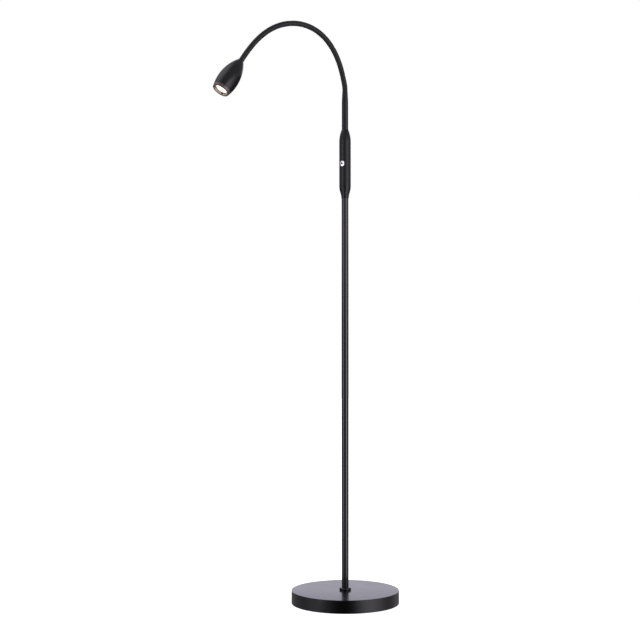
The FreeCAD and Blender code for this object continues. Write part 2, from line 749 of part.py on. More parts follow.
def front_ring():
    """Mouth ring. Its spigot screws into the shell and carries the whole light module."""
    outer = SPIGOT_DIAMETER / 2
    back = seam - RING_SPIGOT
    mouth = MOUTH_BORE / 2
    lip = LIP_BORE / 2
    ring = spun([
        edge((back, module_radius), (back, outer)),
        edge((back, outer), (seam, outer)),
        edge((seam, outer), (seam, head_radius(seam))),
        head_arc(seam, HEAD_LENGTH),
        edge((HEAD_LENGTH, head_radius(HEAD_LENGTH)), (HEAD_LENGTH, mouth)),
        edge((HEAD_LENGTH, mouth), (lip_front, lip)),
        edge((lip_front, lip), (lip_back, lip)),
        edge((lip_back, lip), (lip_back, module_radius)),
        edge((lip_back, module_radius), (back, module_radius))])
    return one_solid(cut_key_slots(ring, lip_back - CUT, outer - KEY_SLOT_WALL))


def lens_holder():
    """Ring behind the mouth's lip, on the LED board. Its ledge carries the lens's flange."""
    outer = module_radius - SNUG
    inner = LENS_DIAMETER / 2 + SNUG
    ledge = inner - HOLDER_LEDGE_WIDTH
    ledge_front = lip_back - LENS_FLANGE
    holder = turned([
        (led_board_front, inner), (ledge_front - HOLDER_LEDGE, inner),
        (ledge_front - HOLDER_LEDGE, ledge), (ledge_front, ledge), (ledge_front, inner),
        (lip_back, inner), (lip_back, outer), (led_board_front, outer)])
    return cut_key_slots(holder, lip_back - HOLDER_NOTCH_DEPTH, outer + CUT)


def lens():
    """Solid collimator: a flange, a cone behind it and a cup over the chip."""
    flange = LENS_DIAMETER / 2
    ledge_front = lip_back - LENS_FLANGE
    cone = flange - HOLDER_LEDGE_WIDTH - SLIP
    back = led_board_front + LED_CHIP_THICKNESS + BALL_GAP
    cup = LENS_CUP_DIAMETER / 2
    return turned([
        (back + LENS_CUP_DEPTH, 0), (back + LENS_CUP_DEPTH, cup), (back, cup),
        (back, LENS_BACK_DIAMETER / 2), (ledge_front - HOLDER_LEDGE, cone), (ledge_front, cone),
        (ledge_front, flange), (lip_back, flange), (lip_back, 0)])


def screw_spots():
    """Two LED screws, on the line across the lead's hole."""
    return [Vector(0, 0, side * LED_SCREW_CIRCLE / 2) for side in (-1, 1)]


def led_board():
    board = rod(module_radius - SNUG, led_board_back, led_board_front)
    for spot in screw_spots():
        hole = rod(LED_SCREW_DIAMETER / 2 + SNUG, led_board_back - CUT, led_board_front + CUT)
        hole.translate(spot)
        board = board.cut(hole)
    return board


def led_chip():
    return rod(LED_CHIP_DIAMETER / 2, led_board_front, led_board_front + LED_CHIP_THICKNESS)


def led_screws():
    screws = []
    for spot in screw_spots():
        head = rod(LED_SCREW_HEAD / 2, led_board_front, led_board_front + LED_SCREW_HEAD_HEIGHT)
        shank = rod(LED_SCREW_DIAMETER / 2, led_board_front - LED_SCREW_LENGTH, led_board_front)
        screw = one_solid(head.fuse(shank))
        screw.translate(spot)
        screws.append(screw)
    return Part.makeCompound(screws)


def heat_sink():
    """Disc behind the board with straight fins, drilled for the screws and the lead."""
    sink = rod(module_radius - SNUG, sink_base_back, led_board_back)
    round_bar = rod(SINK_FIN_DIAMETER / 2, sink_back, sink_base_back)
    for k in range(SINK_FINS):
        middle = (k - (SINK_FINS - 1) / 2) * SINK_FIN_PITCH
        corner = Vector(sink_back, middle - SINK_FIN_THICKNESS / 2, -SINK_FIN_DIAMETER)
        slab = Part.makeBox(SINK_FIN_LENGTH, SINK_FIN_THICKNESS, 2 * SINK_FIN_DIAMETER, corner)
        sink = sink.fuse(slab.common(round_bar))
    for spot in screw_spots():
        hole = rod(LED_SCREW_DIAMETER / 2 + SNUG, sink_base_back, led_board_back + CUT)
        hole.translate(spot)
        sink = sink.cut(hole)
    lead_hole = rod(lead_radius + SLIP, sink_back - CUT, led_board_back + CUT)
    lead_hole.translate(Y * LEAD_OFFSET)
    return one_solid(sink.cut(lead_hole))


def head_lead():
    """Lead through the last link, round a side step, to the back of the LED board."""
    turn = math.acos(1 - LEAD_OFFSET / (2 * LEAD_BEND))
    start = socket_radius + SLIP - LINK_LENGTH
    leave = HEAD_BACK_WALL + NUT_THICKNESS + 2 * THREAD_PROUD
    half = LEAD_BEND * math.sin(turn)
    near = LEAD_BEND * math.sin(turn / 2)
    rise = LEAD_BEND * (1 - math.cos(turn / 2))
    cross = Vector(leave + half, LEAD_OFFSET / 2, 0)
    end = Vector(leave + 2 * half, LEAD_OFFSET, 0)
    wire = Part.Wire([
        Part.makeLine(X * start, X * leave),
        Part.Arc(X * leave, Vector(leave + near, rise, 0), cross).toShape(),
        Part.Arc(cross, Vector(end.x - near, LEAD_OFFSET - rise, 0), end).toShape(),
        Part.makeLine(end, Vector(led_board_back, LEAD_OFFSET, 0))])
    return tube_along(wire, lead_radius)


def build():
    """Every node's shape in its place, by name."""
    nodes = {}
    for make in (base_pad, base_plate, base_screws, base_weight, base_cover, cord_gland, gland_nut,
                 terminal_block, base_nipple, base_washer, pole_collar, pole_tube, pole_inserts,
                 pole_lead, housing_nipple, thread_nuts, housing_cap, housing_body, dimmer_board,
                 board_parts, switch_body, button_guide, switch_plunger, button_cap, neck_ferrule,
                 ferrule_lead):
        nodes[make.__name__] = make()
    places = link_places()
    links = len(NECK_BENDS)
    plain_link = neck_link(False)
    for k in range(links - 1):
        nodes["neck_link_%02d" % (k + 1)] = stand(plain_link, *places[k])
        nodes["neck_lead_%02d" % (k + 1)] = stand(neck_lead(), *places[k])
    nodes["neck_link_%02d" % links] = stand(neck_link(True), *places[links - 1])
    for make in (head_lead, head_shell, head_nut, front_ring, heat_sink, led_board, led_chip,
                 led_screws, lens_holder, lens):
        nodes[make.__name__] = stand(make(), *places[links])
    return nodes


def main():
    os.makedirs("parts", exist_ok=True)
    nodes = build()
    for name, shape in nodes.items():
        if not shape.isValid():
            print("invalid shape:", name)
        shape.exportStep("parts/%s.step" % name)
    print("nodes:", len(nodes))
    for point, tilt in link_places():
        print("joint at x %.2f z %.2f, tilt %.1f" % (point.x, point.z, tilt))


main()
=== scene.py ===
# %% [markdown]
# # A gooseneck reading floor lamp
# This notebook dresses a finished CAD model of a floor lamp: a weighted disc base, a slim pole, a
# switch housing with a push button, a wound steel neck and an egg-shaped head with a lit lens.
# The CAD model is the frame. Every visible piece is made again here as a finer mesh in the same
# place, and then rides on an empty named for one of the frame's bodies. Sections and stations are in
# millimetres, and everything else is in metres.

import json
import math

import bmesh
import bpy
from mathutils import Matrix, Vector


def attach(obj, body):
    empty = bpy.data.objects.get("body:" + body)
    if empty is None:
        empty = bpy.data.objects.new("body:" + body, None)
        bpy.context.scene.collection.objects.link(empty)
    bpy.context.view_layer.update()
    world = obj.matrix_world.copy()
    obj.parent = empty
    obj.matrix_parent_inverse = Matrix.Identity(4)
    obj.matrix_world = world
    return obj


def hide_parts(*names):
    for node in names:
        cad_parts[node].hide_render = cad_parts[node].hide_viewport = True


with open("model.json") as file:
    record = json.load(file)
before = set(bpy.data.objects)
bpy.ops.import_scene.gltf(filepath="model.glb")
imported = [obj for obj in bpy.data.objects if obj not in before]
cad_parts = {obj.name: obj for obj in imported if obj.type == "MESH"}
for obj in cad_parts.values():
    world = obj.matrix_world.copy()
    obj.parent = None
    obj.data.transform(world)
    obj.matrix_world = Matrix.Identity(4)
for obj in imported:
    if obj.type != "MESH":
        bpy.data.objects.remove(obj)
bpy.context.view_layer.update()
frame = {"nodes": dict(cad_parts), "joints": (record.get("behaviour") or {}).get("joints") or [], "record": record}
MM = 0.001


def link_object(name, data):
    """Make an object and link it to the scene."""
    thing = bpy.data.objects.new(name, data)
    bpy.context.scene.collection.objects.link(thing)
    return thing


# %% [markdown]
# ## Camera
# The photograph was taken from a little over three metres away, at table height, with a long lens
# that tips down by less than a degree, so the pole stays upright. The base's ellipse gives the
# height, and the view looks 35 degrees past the neck's plane.

# %% Camera
CAMERA_PLACE = Vector((-2.0093, -2.7656, 0.6976))
CAMERA_TURN = (89.346, 0.041, -35.024)
camera_data = bpy.data.cameras.new("camera")
camera_data.sensor_width = 36.0
camera_data.lens = 82.84
camera = link_object("camera", camera_data)
camera.location = CAMERA_PLACE
camera.rotation_euler = [math.radians(angle) for angle in CAMERA_TURN]
bpy.context.scene.camera = camera
bpy.context.scene.view_settings.view_transform = "Standard"
print("camera at", [round(v, 3) for v in CAMERA_PLACE], "lens", camera_data.lens)

# %% [markdown]
# ## Helpers for node trees
# A node tree is easier to read when each node is made in one line and its links are drawn from the
# sockets' names. These helpers are used for every material, group and modifier below. A level is
# a number, a colour of four numbers, or a pair of a node and its output.

# %% Node helpers
def add(tree, kind, place=(0, 0), **settings):
    """Make a node, and set its properties and its unlinked inputs by name."""
    node = tree.nodes.new(kind)
    node.location = place
    for key, value in settings.items():
        if hasattr(node, key):
            setattr(node, key, value)
        else:
            node.inputs[key.replace("_", " ")].default_value = value
    return node


def wire(tree, *pairs):
    """Link (node, output) to (node, input) for each pair."""
    for (a, out), (b, into) in pairs:
        tree.links.new(a.outputs[out], b.inputs[into])


def feed(tree, level, socket):
    """Give a socket a level: link a pair of a node and its output, and set anything else."""
    if isinstance(level, tuple) and len(level) == 2:
        tree.links.new(level[0].outputs[level[1]], socket)
    else:
        socket.default_value = level


def calculate(tree, operation, *levels, place=(0, 0)):
    """Math node with a level at each of its inputs."""
    node = add(tree, "ShaderNodeMath", place, operation=operation)
    for level, socket in zip(levels, node.inputs):
        feed(tree, level, socket)
    return (node, 0)


def blend(tree, share, first, second, place, colours=False):
    """Mix node between two levels, or between two colours."""
    mix = add(tree, "ShaderNodeMix", place, data_type="RGBA" if colours else "FLOAT")
    for level, socket in zip((share, first, second), (0, 6, 7) if colours else (0, 2, 3)):
        feed(tree, level, mix.inputs[socket])
    return (mix, 2 if colours else 0)


def tree_ends(tree, inputs, outputs):
    """Declare a tree's sockets, each a pair of its name and kind, and make its two end nodes."""
    for direction, pairs in (("INPUT", inputs), ("OUTPUT", outputs)):
        for name, kind in pairs:
            tree.interface.new_socket(name, in_out=direction, socket_type="NodeSocket" + kind)
    return add(tree, "NodeGroupInput", (-1400, 0)), add(tree, "NodeGroupOutput", (1600, 0))


print("node helpers ready")

# %% [markdown]
# ## The studio as a ring of light
# Black lacquer has almost no colour of its own. What the eye sees on it is the studio: a narrow
# strip and a weak wall on the left, a broad box on the right, darkness in front and a white wall
# behind. It could be built from cards and lamps. A node group that turns a direction into an angle
# round the lamp, and a ramp that turns the angle into a brightness, are simpler and free of noise.
# The world and the floor share the group, and each has its own ramp.

# %% Angle group
def build_angle_round_lamp():
    """Group: share of a turn round the lamp, with the camera's side at one half."""
    group = bpy.data.node_groups.new("angle round lamp", "ShaderNodeTree")
    start, end = tree_ends(group, (("Direction", "Vector"), ("Stretch", "Float")),
                           (("Share", "Float"),))
    front = add(group, "ShaderNodeVectorRotate", (-850, 0), rotation_type="Z_AXIS")
    front.inputs["Angle"].default_value = -math.atan2(CAMERA_PLACE.y, CAMERA_PLACE.x)
    split = add(group, "ShaderNodeSeparateXYZ", (-650, 0))
    wire(group, ((start, "Direction"), (front, "Vector")), ((front, 0), (split, "Vector")))
    around = calculate(group, "ARCTAN2", (split, "Y"), (split, "X"), place=(-450, 0))
    wide = calculate(group, "MULTIPLY", around, (start, "Stretch"), place=(-250, 0))
    share = calculate(group, "MULTIPLY_ADD", wide, 0.5 / math.pi, 0.5, place=(-50, 0))
    wire(group, (share, (end, "Share")))
    return group


def light_ramp(tree, share, levels, place):
    """Colour ramp from angles in degrees to brightness, and its gain."""
    ramp = add(tree, "ShaderNodeValToRGB", place)
    feed(tree, share, ramp.inputs["Fac"])
    stops = ramp.color_ramp.elements
    stops.remove(stops[1])
    for k, (angle, level) in enumerate(levels):
        stop = stops[0] if k == 0 else stops.new((angle + 180) / 360)
        stop.position = (angle + 180) / 360
        stop.color = (level / RAMP_GAIN, level / RAMP_GAIN, level / RAMP_GAIN, 1)
    return calculate(tree, "MULTIPLY", (ramp, "Color"), RAMP_GAIN, place=(place[0] + 300, place[1]))


RAMP_GAIN = 2.5
angle_round_lamp = build_angle_round_lamp()
print("group:", angle_round_lamp.name)

# %% [markdown]
# ## World
# The camera sees plain white. Shiny surfaces see the ring up to a modest height, a large soft box
# high on the left, and a white wall behind the lamp, which is what makes the flat top of the base
# look pale from this low view. Matt surfaces get an even, plain light from all sides.

# %% World
WALL = [
    (-180, 0.06), (-118, 0.06), (-99, 0.12), (-88, 0.30), (-74, 0.42), (-62, 0.42), (-58, 2.3),
    (-46, 2.3), (-42, 0.38), (-30, 0.24), (-18, 0.10), (0, 0.05), (16, 0.07), (22, 0.25),
    (30, 2.0), (56, 2.0), (65, 1.45), (74, 0.90), (84, 0.50), (100, 0.12), (118, 0.06),
    (180, 0.06)]
FRONT_LIFT, UPPER_LEVEL, BOX_LEVEL, BACK_LEVEL, MATT_LEVEL = 0.42, 0.34, 1.35, 1.18, 0.55
LIFT_RISE, UPPER_RISE, BACK_RISE = (0.01, 0.07), (0.14, 0.42), (0.02, 0.13)
BOX_AIM, BOX_EDGE = (-88, 56), (0.80, 0.97)
BACK_AIM, BACK_EDGE = (180, 0), (0.6, 0.85)
STUDIO_TINT, WALL_TINT = (0.95, 0.90, 1.0, 1), (0.880, 0.860, 1.0, 1)
WHITE = (1, 1, 1, 1)
world = bpy.data.worlds.new("studio")
bpy.context.scene.world = world
world.use_nodes = True
sky = world.node_tree
sky.nodes.clear()
look = add(sky, "ShaderNodeTexCoord", (-1500, 0))


def toward(angle, rise):
    """Unit vector at an angle from the camera's side, seen from the lamp, and a rise."""
    a = math.atan2(CAMERA_PLACE.y, CAMERA_PLACE.x) + math.radians(angle)
    e = math.radians(rise)
    return (math.cos(a) * math.cos(e), math.sin(a) * math.cos(e), math.sin(e))


def soft_step(level, limits, place):
    """Smooth step of a level between two limits."""
    step = add(sky, "ShaderNodeMapRange", place, interpolation_type="SMOOTHSTEP")
    step.inputs[1].default_value, step.inputs[2].default_value = limits
    feed(sky, level, step.inputs["Value"])
    return (step, 0)


def facing(aim, place):
    """Cosine between the looked-at direction and a fixed one, given as (angle, rise)."""
    dot = add(sky, "ShaderNodeVectorMath", place, operation="DOT_PRODUCT")
    dot.inputs[1].default_value = toward(*aim)
    wire(sky, ((look, "Generated"), (dot, 0)))
    return (dot, "Value")


def mirrored_rays(tree, place):
    """Light Path node, and a mask of the rays that a shiny or a clear surface sends."""
    rays = add(tree, "ShaderNodeLightPath", place)
    return rays, calculate(tree, "MAXIMUM", (rays, "Is Glossy Ray"), (rays, "Is Transmission Ray"),
                           place=(place[0] + 200, place[1]))


angle = add(sky, "ShaderNodeGroup", (-1300, 200), node_tree=angle_round_lamp, Stretch=1.0)
wire(sky, ((look, "Generated"), (angle, "Direction")))
rise = add(sky, "ShaderNodeSeparateXYZ", (-1300, -100))
wire(sky, ((look, "Generated"), (rise, "Vector")))
wall = light_ramp(sky, (angle, "Share"), WALL, (-1100, 300))
lift = calculate(sky, "MULTIPLY", soft_step((rise, "Z"), LIFT_RISE, (-1100, 0)), FRONT_LIFT,
                 place=(-900, 0))
wall = calculate(sky, "MAXIMUM", wall, lift, place=(-600, 200))
above = soft_step((rise, "Z"), UPPER_RISE, (-1100, -200))
level = blend(sky, above, wall, UPPER_LEVEL, (-400, 100))
in_box = soft_step(facing(BOX_AIM, (-1300, -500)), BOX_EDGE, (-1100, -500))
level = blend(sky, in_box, level, BOX_LEVEL, (-200, 100))
behind = calculate(sky, "MULTIPLY",
                   soft_step(facing(BACK_AIM, (-1300, -800)), BACK_EDGE, (-1100, -800)),
                   soft_step((rise, "Z"), BACK_RISE, (-1100, -1100)), place=(-900, -900))
level = blend(sky, behind, level, BACK_LEVEL, (0, 100))
rays, shiny = mirrored_rays(sky, (-400, 700))
seen = add(sky, "ShaderNodeBackground", (200, 500), Color=WHITE, Strength=1.0)
tint = blend(sky, behind, STUDIO_TINT, WALL_TINT, (0, -100), colours=True)
mirrored = add(sky, "ShaderNodeBackground", (200, 100))
matt = add(sky, "ShaderNodeBackground", (200, -100), Color=WHITE, Strength=MATT_LEVEL)
first = add(sky, "ShaderNodeMixShader", (450, 100))
second = add(sky, "ShaderNodeMixShader", (650, 200))
shown = add(sky, "ShaderNodeOutputWorld", (850, 200))
wire(sky, (tint, (mirrored, "Color")), (level, (mirrored, "Strength")), (shiny, (first, 0)),
     ((matt, 0), (first, 1)), ((mirrored, 0), (first, 2)), ((first, 0), (second, 1)),
     ((rays, "Is Camera Ray"), (second, 0)), ((seen, 0), (second, 2)),
     ((second, 0), (shown, "Surface")))
print("world mixes camera, shiny and matt rays")

# %% [markdown]
# ## Floor
# The camera sees the floor as plain white. Most of that brightness is the floor's own and the rest
# is lit, so a shadow all but vanishes on it. Shiny surfaces see a ring of light on it. Far out it
# is the world's own ring. The side of the base mirrors only the floor close by, at an angle nearer
# to its own than to twice it, so the near ring is a ramp of its own and the angle is stretched
# there.

# %% Floor
FLOOR_SIZE, FLOOR_DROP = 12.0, 0.0004
FLOOR_OWN, FLOOR_TONE = 0.78, (0.85, 0.85, 0.85, 1)
NEAR_EDGE, RING_FADE = 0.125, (0.35, 1.0)
FLOOR_RING = [
    (-180, 0.20), (-132, 0.25), (-100, 0.32), (-88, 0.46), (-76, 0.58), (-62, 0.66), (-54, 0.62),
    (-46, 0.43), (-37, 0.28), (-28, 0.16), (-20, 0.07), (-11, 0.01), (2, 0.01), (8, 0.05),
    (15, 0.15), (23, 0.42), (32, 0.88), (41, 1.28), (50, 1.50), (60, 1.52), (70, 1.26),
    (81, 0.94), (92, 0.60), (106, 0.34), (125, 0.36), (142, 0.37), (180, 0.20)]
floor_mesh = bpy.data.meshes.new("floor")
floor_mesh.from_pydata([(x * FLOOR_SIZE / 2, y * FLOOR_SIZE / 2, -FLOOR_DROP)
                        for x, y in ((-1, -1), (1, -1), (1, 1), (-1, 1))], [], [(0, 1, 2, 3)])
floor = link_object("floor", floor_mesh)
floor_paint = bpy.data.materials.new("pale floor")
floor_paint.use_nodes = True
ground = floor_paint.node_tree
ground.nodes.clear()
spot = add(ground, "ShaderNodeTexCoord", (-1500, 0))
flat = add(ground, "ShaderNodeVectorMath", (-1300, 150), operation="MULTIPLY")
flat.inputs[1].default_value = (1, 1, 0)
away = add(ground, "ShaderNodeVectorMath", (-1100, 150), operation="LENGTH")
wire(ground, ((spot, "Object"), (flat, 0)), ((flat, 0), (away, 0)))
far = calculate(ground, "MAXIMUM", (away, "Value"), NEAR_EDGE, place=(-950, 150))
twice = calculate(ground, "MULTIPLY", far, 2.0, place=(-800, 200))
stretch = calculate(ground, "DIVIDE", twice,
                    calculate(ground, "SUBTRACT", twice, NEAR_EDGE, place=(-650, 100)),
                    place=(-500, 200))
angle = add(ground, "ShaderNodeGroup", (-350, -100), node_tree=angle_round_lamp)
wire(ground, ((spot, "Object"), (angle, "Direction")), (stretch, (angle, "Stretch")))
near_ring = light_ramp(ground, (angle, "Share"), FLOOR_RING, (-150, -200))
far_ring = light_ramp(ground, (angle, "Share"), WALL, (-150, -450))
fade = add(ground, "ShaderNodeMapRange", (-150, 50))
fade.inputs[1].default_value, fade.inputs[2].default_value = RING_FADE
wire(ground, ((away, "Value"), (fade, "Value")))
ring = blend(ground, (fade, 0), near_ring, far_ring, (250, -250))
own = add(ground, "ShaderNodeEmission", (200, 200), Color=WHITE, Strength=FLOOR_OWN)
lit = add(ground, "ShaderNodeBsdfDiffuse", (200, 50), Color=FLOOR_TONE)
sheen = add(ground, "ShaderNodeEmission", (400, -150), Color=STUDIO_TINT)
pale = add(ground, "ShaderNodeAddShader", (400, 150))
choose = add(ground, "ShaderNodeMixShader", (600, 50))
done = add(ground, "ShaderNodeOutputMaterial", (800, 50))
shiny = mirrored_rays(ground, (200, 400))[1]
wire(ground, (ring, (sheen, "Strength")), ((own, 0), (pale, 0)), ((lit, 0), (pale, 1)),
     (shiny, (choose, 0)), ((pale, 0), (choose, 1)), ((sheen, 0), (choose, 2)),
     ((choose, 0), (done, "Surface")))
floor_mesh.materials.append(floor_paint)
print("floor", FLOOR_SIZE, "m wide")

# %% [markdown]
# ## Soft boxes
# Two large soft boxes give matt surfaces some shape and light the floor. They are kept out of
# reflections, because the studio ring already draws those.

# %% Soft boxes
BOX_SIZE, BOX_POWER, BOX_TARGET = 1.8, 55, Vector((0, 0, 0.7))
for side_name, corner in (("left", Vector((-3.2, 0.6, 2.6))), ("right", Vector((1.6, -3.0, 2.8)))):
    lamp = bpy.data.lights.new(side_name + " soft box", "AREA")
    lamp.shape, lamp.size, lamp.energy = "SQUARE", BOX_SIZE, BOX_POWER
    box = link_object(side_name + " soft box", lamp)
    box.location = corner
    box.rotation_euler = (BOX_TARGET - corner).to_track_quat("-Z", "Y").to_euler()
    box.visible_camera = box.visible_glossy = False
print("two soft boxes")

# %% [markdown]
# ## Lacquer grain
# A sprayed satin lacquer is never quite even. It has a fine orange peel, which shows as slight
# waves in reflections, and smudges where the sheen changes a little. Both repeat on every painted
# piece, so they are one node group. It gives a height for a Bump node and a roughness.

# %% Lacquer grain group
def build_lacquer_grain():
    """Group: orange peel height, and roughness with smudges and fine specks."""
    group = bpy.data.node_groups.new("lacquer grain", "ShaderNodeTree")
    start, end = tree_ends(
        group, (("Vector", "Vector"), ("Peel Size", "Float"), ("Roughness", "Float"),
                ("Smudge", "Float")), (("Height", "Float"), ("Roughness", "Float")))
    peel = add(group, "ShaderNodeTexNoise", (-700, 200), Detail=2.0)
    speck = add(group, "ShaderNodeTexNoise", (-700, -50), Scale=2600.0, Detail=1.0)
    smudge = add(group, "ShaderNodeTexNoise", (-700, -300), Scale=22.0, Detail=3.0)
    wire(group, ((start, "Vector"), (peel, "Vector")), ((start, "Peel Size"), (peel, "Scale")),
         ((start, "Vector"), (speck, "Vector")), ((start, "Vector"), (smudge, "Vector")))
    fine = calculate(group, "MULTIPLY", (speck, 0), 0.35, place=(-450, 0))
    height = calculate(group, "ADD", (peel, 0), fine, place=(-250, 150))
    centred = calculate(group, "SUBTRACT", (smudge, 0), 0.5, place=(-450, -300))
    swing = calculate(group, "MULTIPLY", centred, (start, "Smudge"), place=(-250, -300))
    rough = calculate(group, "MULTIPLY_ADD", swing, 2.0, (start, "Roughness"), place=(0, -250))
    wire(group, (height, (end, "Height")), (rough, (end, "Roughness")))
    return group


lacquer_grain = build_lacquer_grain()
print("group:", lacquer_grain.name)

# %% [markdown]
# ## Materials of the frame's slots
# One function makes each finish from its colour, roughness and metalness, with the lacquer grain
# for its surface. Constants that are the same all over sit on the shader's own sockets.

# %% Finish function
finishes = {}


def new_finish(name):
    """Empty procedural material, kept under its name: its tree and its shader."""
    material = finishes[name] = bpy.data.materials.new(name)
    material.use_nodes = True
    return material.node_tree, material.node_tree.nodes["Principled BSDF"]


def finish(name, colour, roughness, metallic=0.0, level=0.5, peel=400.0, depth=0.02, smudge=0.04,
           variation=0.1):
    """Material with a tone that drifts a little, and the grain for its bump and roughness."""
    tree, shader = new_finish(name)
    shader.inputs["Metallic"].default_value = metallic
    shader.inputs["Specular IOR Level"].default_value = level
    where = add(tree, "ShaderNodeTexCoord", (-1100, 0))
    grain = add(tree, "ShaderNodeGroup", (-800, -200), node_tree=lacquer_grain, Peel_Size=peel,
                Roughness=roughness, Smudge=smudge)
    tone = add(tree, "ShaderNodeTexNoise", (-800, 200), Scale=60.0, Detail=2.0)
    low = tuple(c * (1 - variation) for c in colour) + (1,)
    high = tuple(min(1, c * (1 + variation)) for c in colour) + (1,)
    shade = blend(tree, (tone, 0), low, high, (-500, 200), colours=True)
    bump = add(tree, "ShaderNodeBump", (-300, -300), Strength=1.0, Distance=depth * MM)
    wire(tree, ((where, "Object"), (grain, "Vector")), ((where, "Object"), (tone, "Vector")),
         (shade, (shader, "Base Color")), ((grain, "Roughness"), (shader, "Roughness")),
         ((grain, "Height"), (bump, "Height")), ((bump, "Normal"), (shader, "Normal")))


finish("base_paint", (0.0014, 0.0014, 0.0014), 0.20, level=0.5, peel=500, depth=0.005)
finish("pole_paint", (0.0014, 0.0014, 0.0014), 0.16, level=0.85, peel=420, depth=0.004)
finish("housing_paint", (0.004, 0.0036, 0.004), 0.34, level=0.46, peel=600, depth=0.006)
finish("neck_paint", (0.004, 0.004, 0.004), 0.34, level=0.45, peel=900, depth=0.004)
finish("head_paint", (0.004, 0.004, 0.004), 0.26, level=0.5, peel=600, depth=0.006)
finish("zinc_steel", (0.55, 0.56, 0.60), 0.32, metallic=1.0, peel=1500, depth=0.01)
finish("turned_brass", (0.70, 0.52, 0.24), 0.28, metallic=1.0, peel=1500, depth=0.01)
finish("cast_weight", (0.10, 0.10, 0.10), 0.70, peel=180, depth=0.25, smudge=0.08, variation=0.3)
finish("pad_rubber", (0.025, 0.025, 0.026), 0.85, level=0.3, peel=700, depth=0.15, variation=0.25)
finish("black_plastic", (0.016, 0.016, 0.018), 0.42, peel=900, depth=0.02)
finish("white_plastic", (0.78, 0.75, 0.68), 0.45, peel=600, depth=0.01, variation=0.03)
finish("lead_sheath", (0.04, 0.04, 0.042), 0.48, peel=700, depth=0.01)
finish("green_board", (0.02, 0.14, 0.05), 0.35, peel=900, depth=0.01, variation=0.2)
finish("board_parts", (0.06, 0.06, 0.07), 0.40, peel=900, depth=0.01, variation=0.2)
finish("sink_aluminium", (0.72, 0.73, 0.75), 0.38, metallic=1.0, peel=1200, depth=0.02)
finish("button_chrome", (0.86, 0.86, 0.87), 0.10, metallic=1.0, peel=900, depth=0.002, smudge=0.02,
       variation=0.02)
print(len(finishes), "finishes")

# %% [markdown]
# ## Lit pieces
# The lens is lit from behind. Its front is a sheet of tiny pillows, which break the light up, and
# its flange gets hardly any light. Voronoi cells draw the pillows, and an attribute on the mesh
# says where the flange is. The chip behind it glows too.

# %% Glow function
def glowing(name, colour, strength, cells):
    """Clear piece lit from behind: a pillow pattern, and dim where the attribute rim is one."""
    tree, shader = new_finish(name)
    shader.inputs["Roughness"].default_value = 0.12
    shader.inputs["Emission Strength"].default_value = strength
    where = add(tree, "ShaderNodeTexCoord", (-1100, 0))
    pillow = add(tree, "ShaderNodeTexVoronoi", (-800, -200), Scale=cells)
    bump = add(tree, "ShaderNodeBump", (-300, -300), Strength=0.6, Distance=0.0002)
    edge = add(tree, "ShaderNodeAttribute", (-800, 350), attribute_name="rim")
    full, valley, flange = (tuple(c * k for c, k in zip(colour, share)) + (1,)
                            for share in ((1, 1, 1), (0.92, 0.84, 0.66), (0.10, 0.085, 0.07)))
    glow = blend(tree, (pillow, "Distance"), full, valley, (-500, 100), colours=True)
    glow = blend(tree, (edge, "Fac"), glow, flange, (-250, 200), colours=True)
    wire(tree, ((where, "Object"), (pillow, "Vector")), ((pillow, "Distance"), (bump, "Height")),
         ((bump, "Normal"), (shader, "Normal")), (glow, (shader, "Emission Color")),
         (glow, (shader, "Base Color")))


glowing("lens_lit", (1.0, 0.96, 0.88), 1.3, 520)
glowing("led_phosphor", (1.0, 0.80, 0.45), 6.0, 1500)
finish("mouth_wall", (0.32, 0.28, 0.23), 0.35, metallic=0.6, peel=900, depth=0.01, variation=0.15)
# The ring's brown black is paler and warmer than the shell's: painted light, the lens's warm glow on the ring.
finish("ring_lacquer", (0.055, 0.038, 0.034), 0.30, level=0.8, peel=700, depth=0.01)
print("lens and chip glow")

# %% [markdown]
# ## Dressing the frame's own nodes
# The record names a material slot for each node. Small and hidden pieces keep their CAD mesh and
# only get the finish of their slot.

# %% Slot finishes
slot_of = {part["node"]: part["material_slot"] for part in frame["record"]["subparts"]}
for name, node in frame["nodes"].items():
    node.data.materials.clear()
    node.data.materials.append(finishes[slot_of[name]])
print("dressed", len(slot_of), "nodes")

# %% [markdown]
# ## Turning pieces on a lathe
# Nearly every visible piece of this lamp is round, so it is drawn as half a section and turned
# about its axis, just as the real ones are. The lathe works along any axis: a station is a distance
# along the axis, and a radius is a distance from it. Corners are rounded in the section, because a
# real edge always catches a thin line of light. Edges sharper than a limit, in degrees, stay crisp.

# %% Section helpers
def rounded(points, fillets, steps=6):
    """Corner points of a section with some corners rounded: fillets maps an index to a radius."""
    out = []
    count = len(points)
    for k, point in enumerate(points):
        radius = fillets.get(k, 0)
        if not radius:
            out.append(point)
            continue
        here = Vector(point)
        a = Vector(points[k - 1]) - here
        b = Vector(points[(k + 1) % count]) - here
        angle = a.angle(b)
        reach = min(radius / math.tan(angle / 2), a.length * 0.49, b.length * 0.49)
        begin, finish_at = here + a.normalized() * reach, here + b.normalized() * reach
        for step in range(steps + 1):
            f = step / steps
            p = begin * (1 - f) ** 2 + here * 2 * f * (1 - f) + finish_at * f ** 2
            out.append((p.x, p.y))
    return out


def bezier(a, b, c, d, steps=28):
    """Points of a cubic curve in the section, without its last point."""
    out = []
    for k in range(steps):
        f = k / steps
        g = 1 - f
        out.append(tuple(a[i] * g ** 3 + 3 * b[i] * f * g * g + 3 * c[i] * f * f * g + d[i] * f ** 3
                         for i in (0, 1)))
    return out


def sweep_of(half_width, depth):
    """Radius of the arc that drops by a depth over half its width."""
    return (half_width ** 2 + depth ** 2) / (2 * depth)


print("section helpers ready")

# %% Lathe
SHARP_EDGE = 32


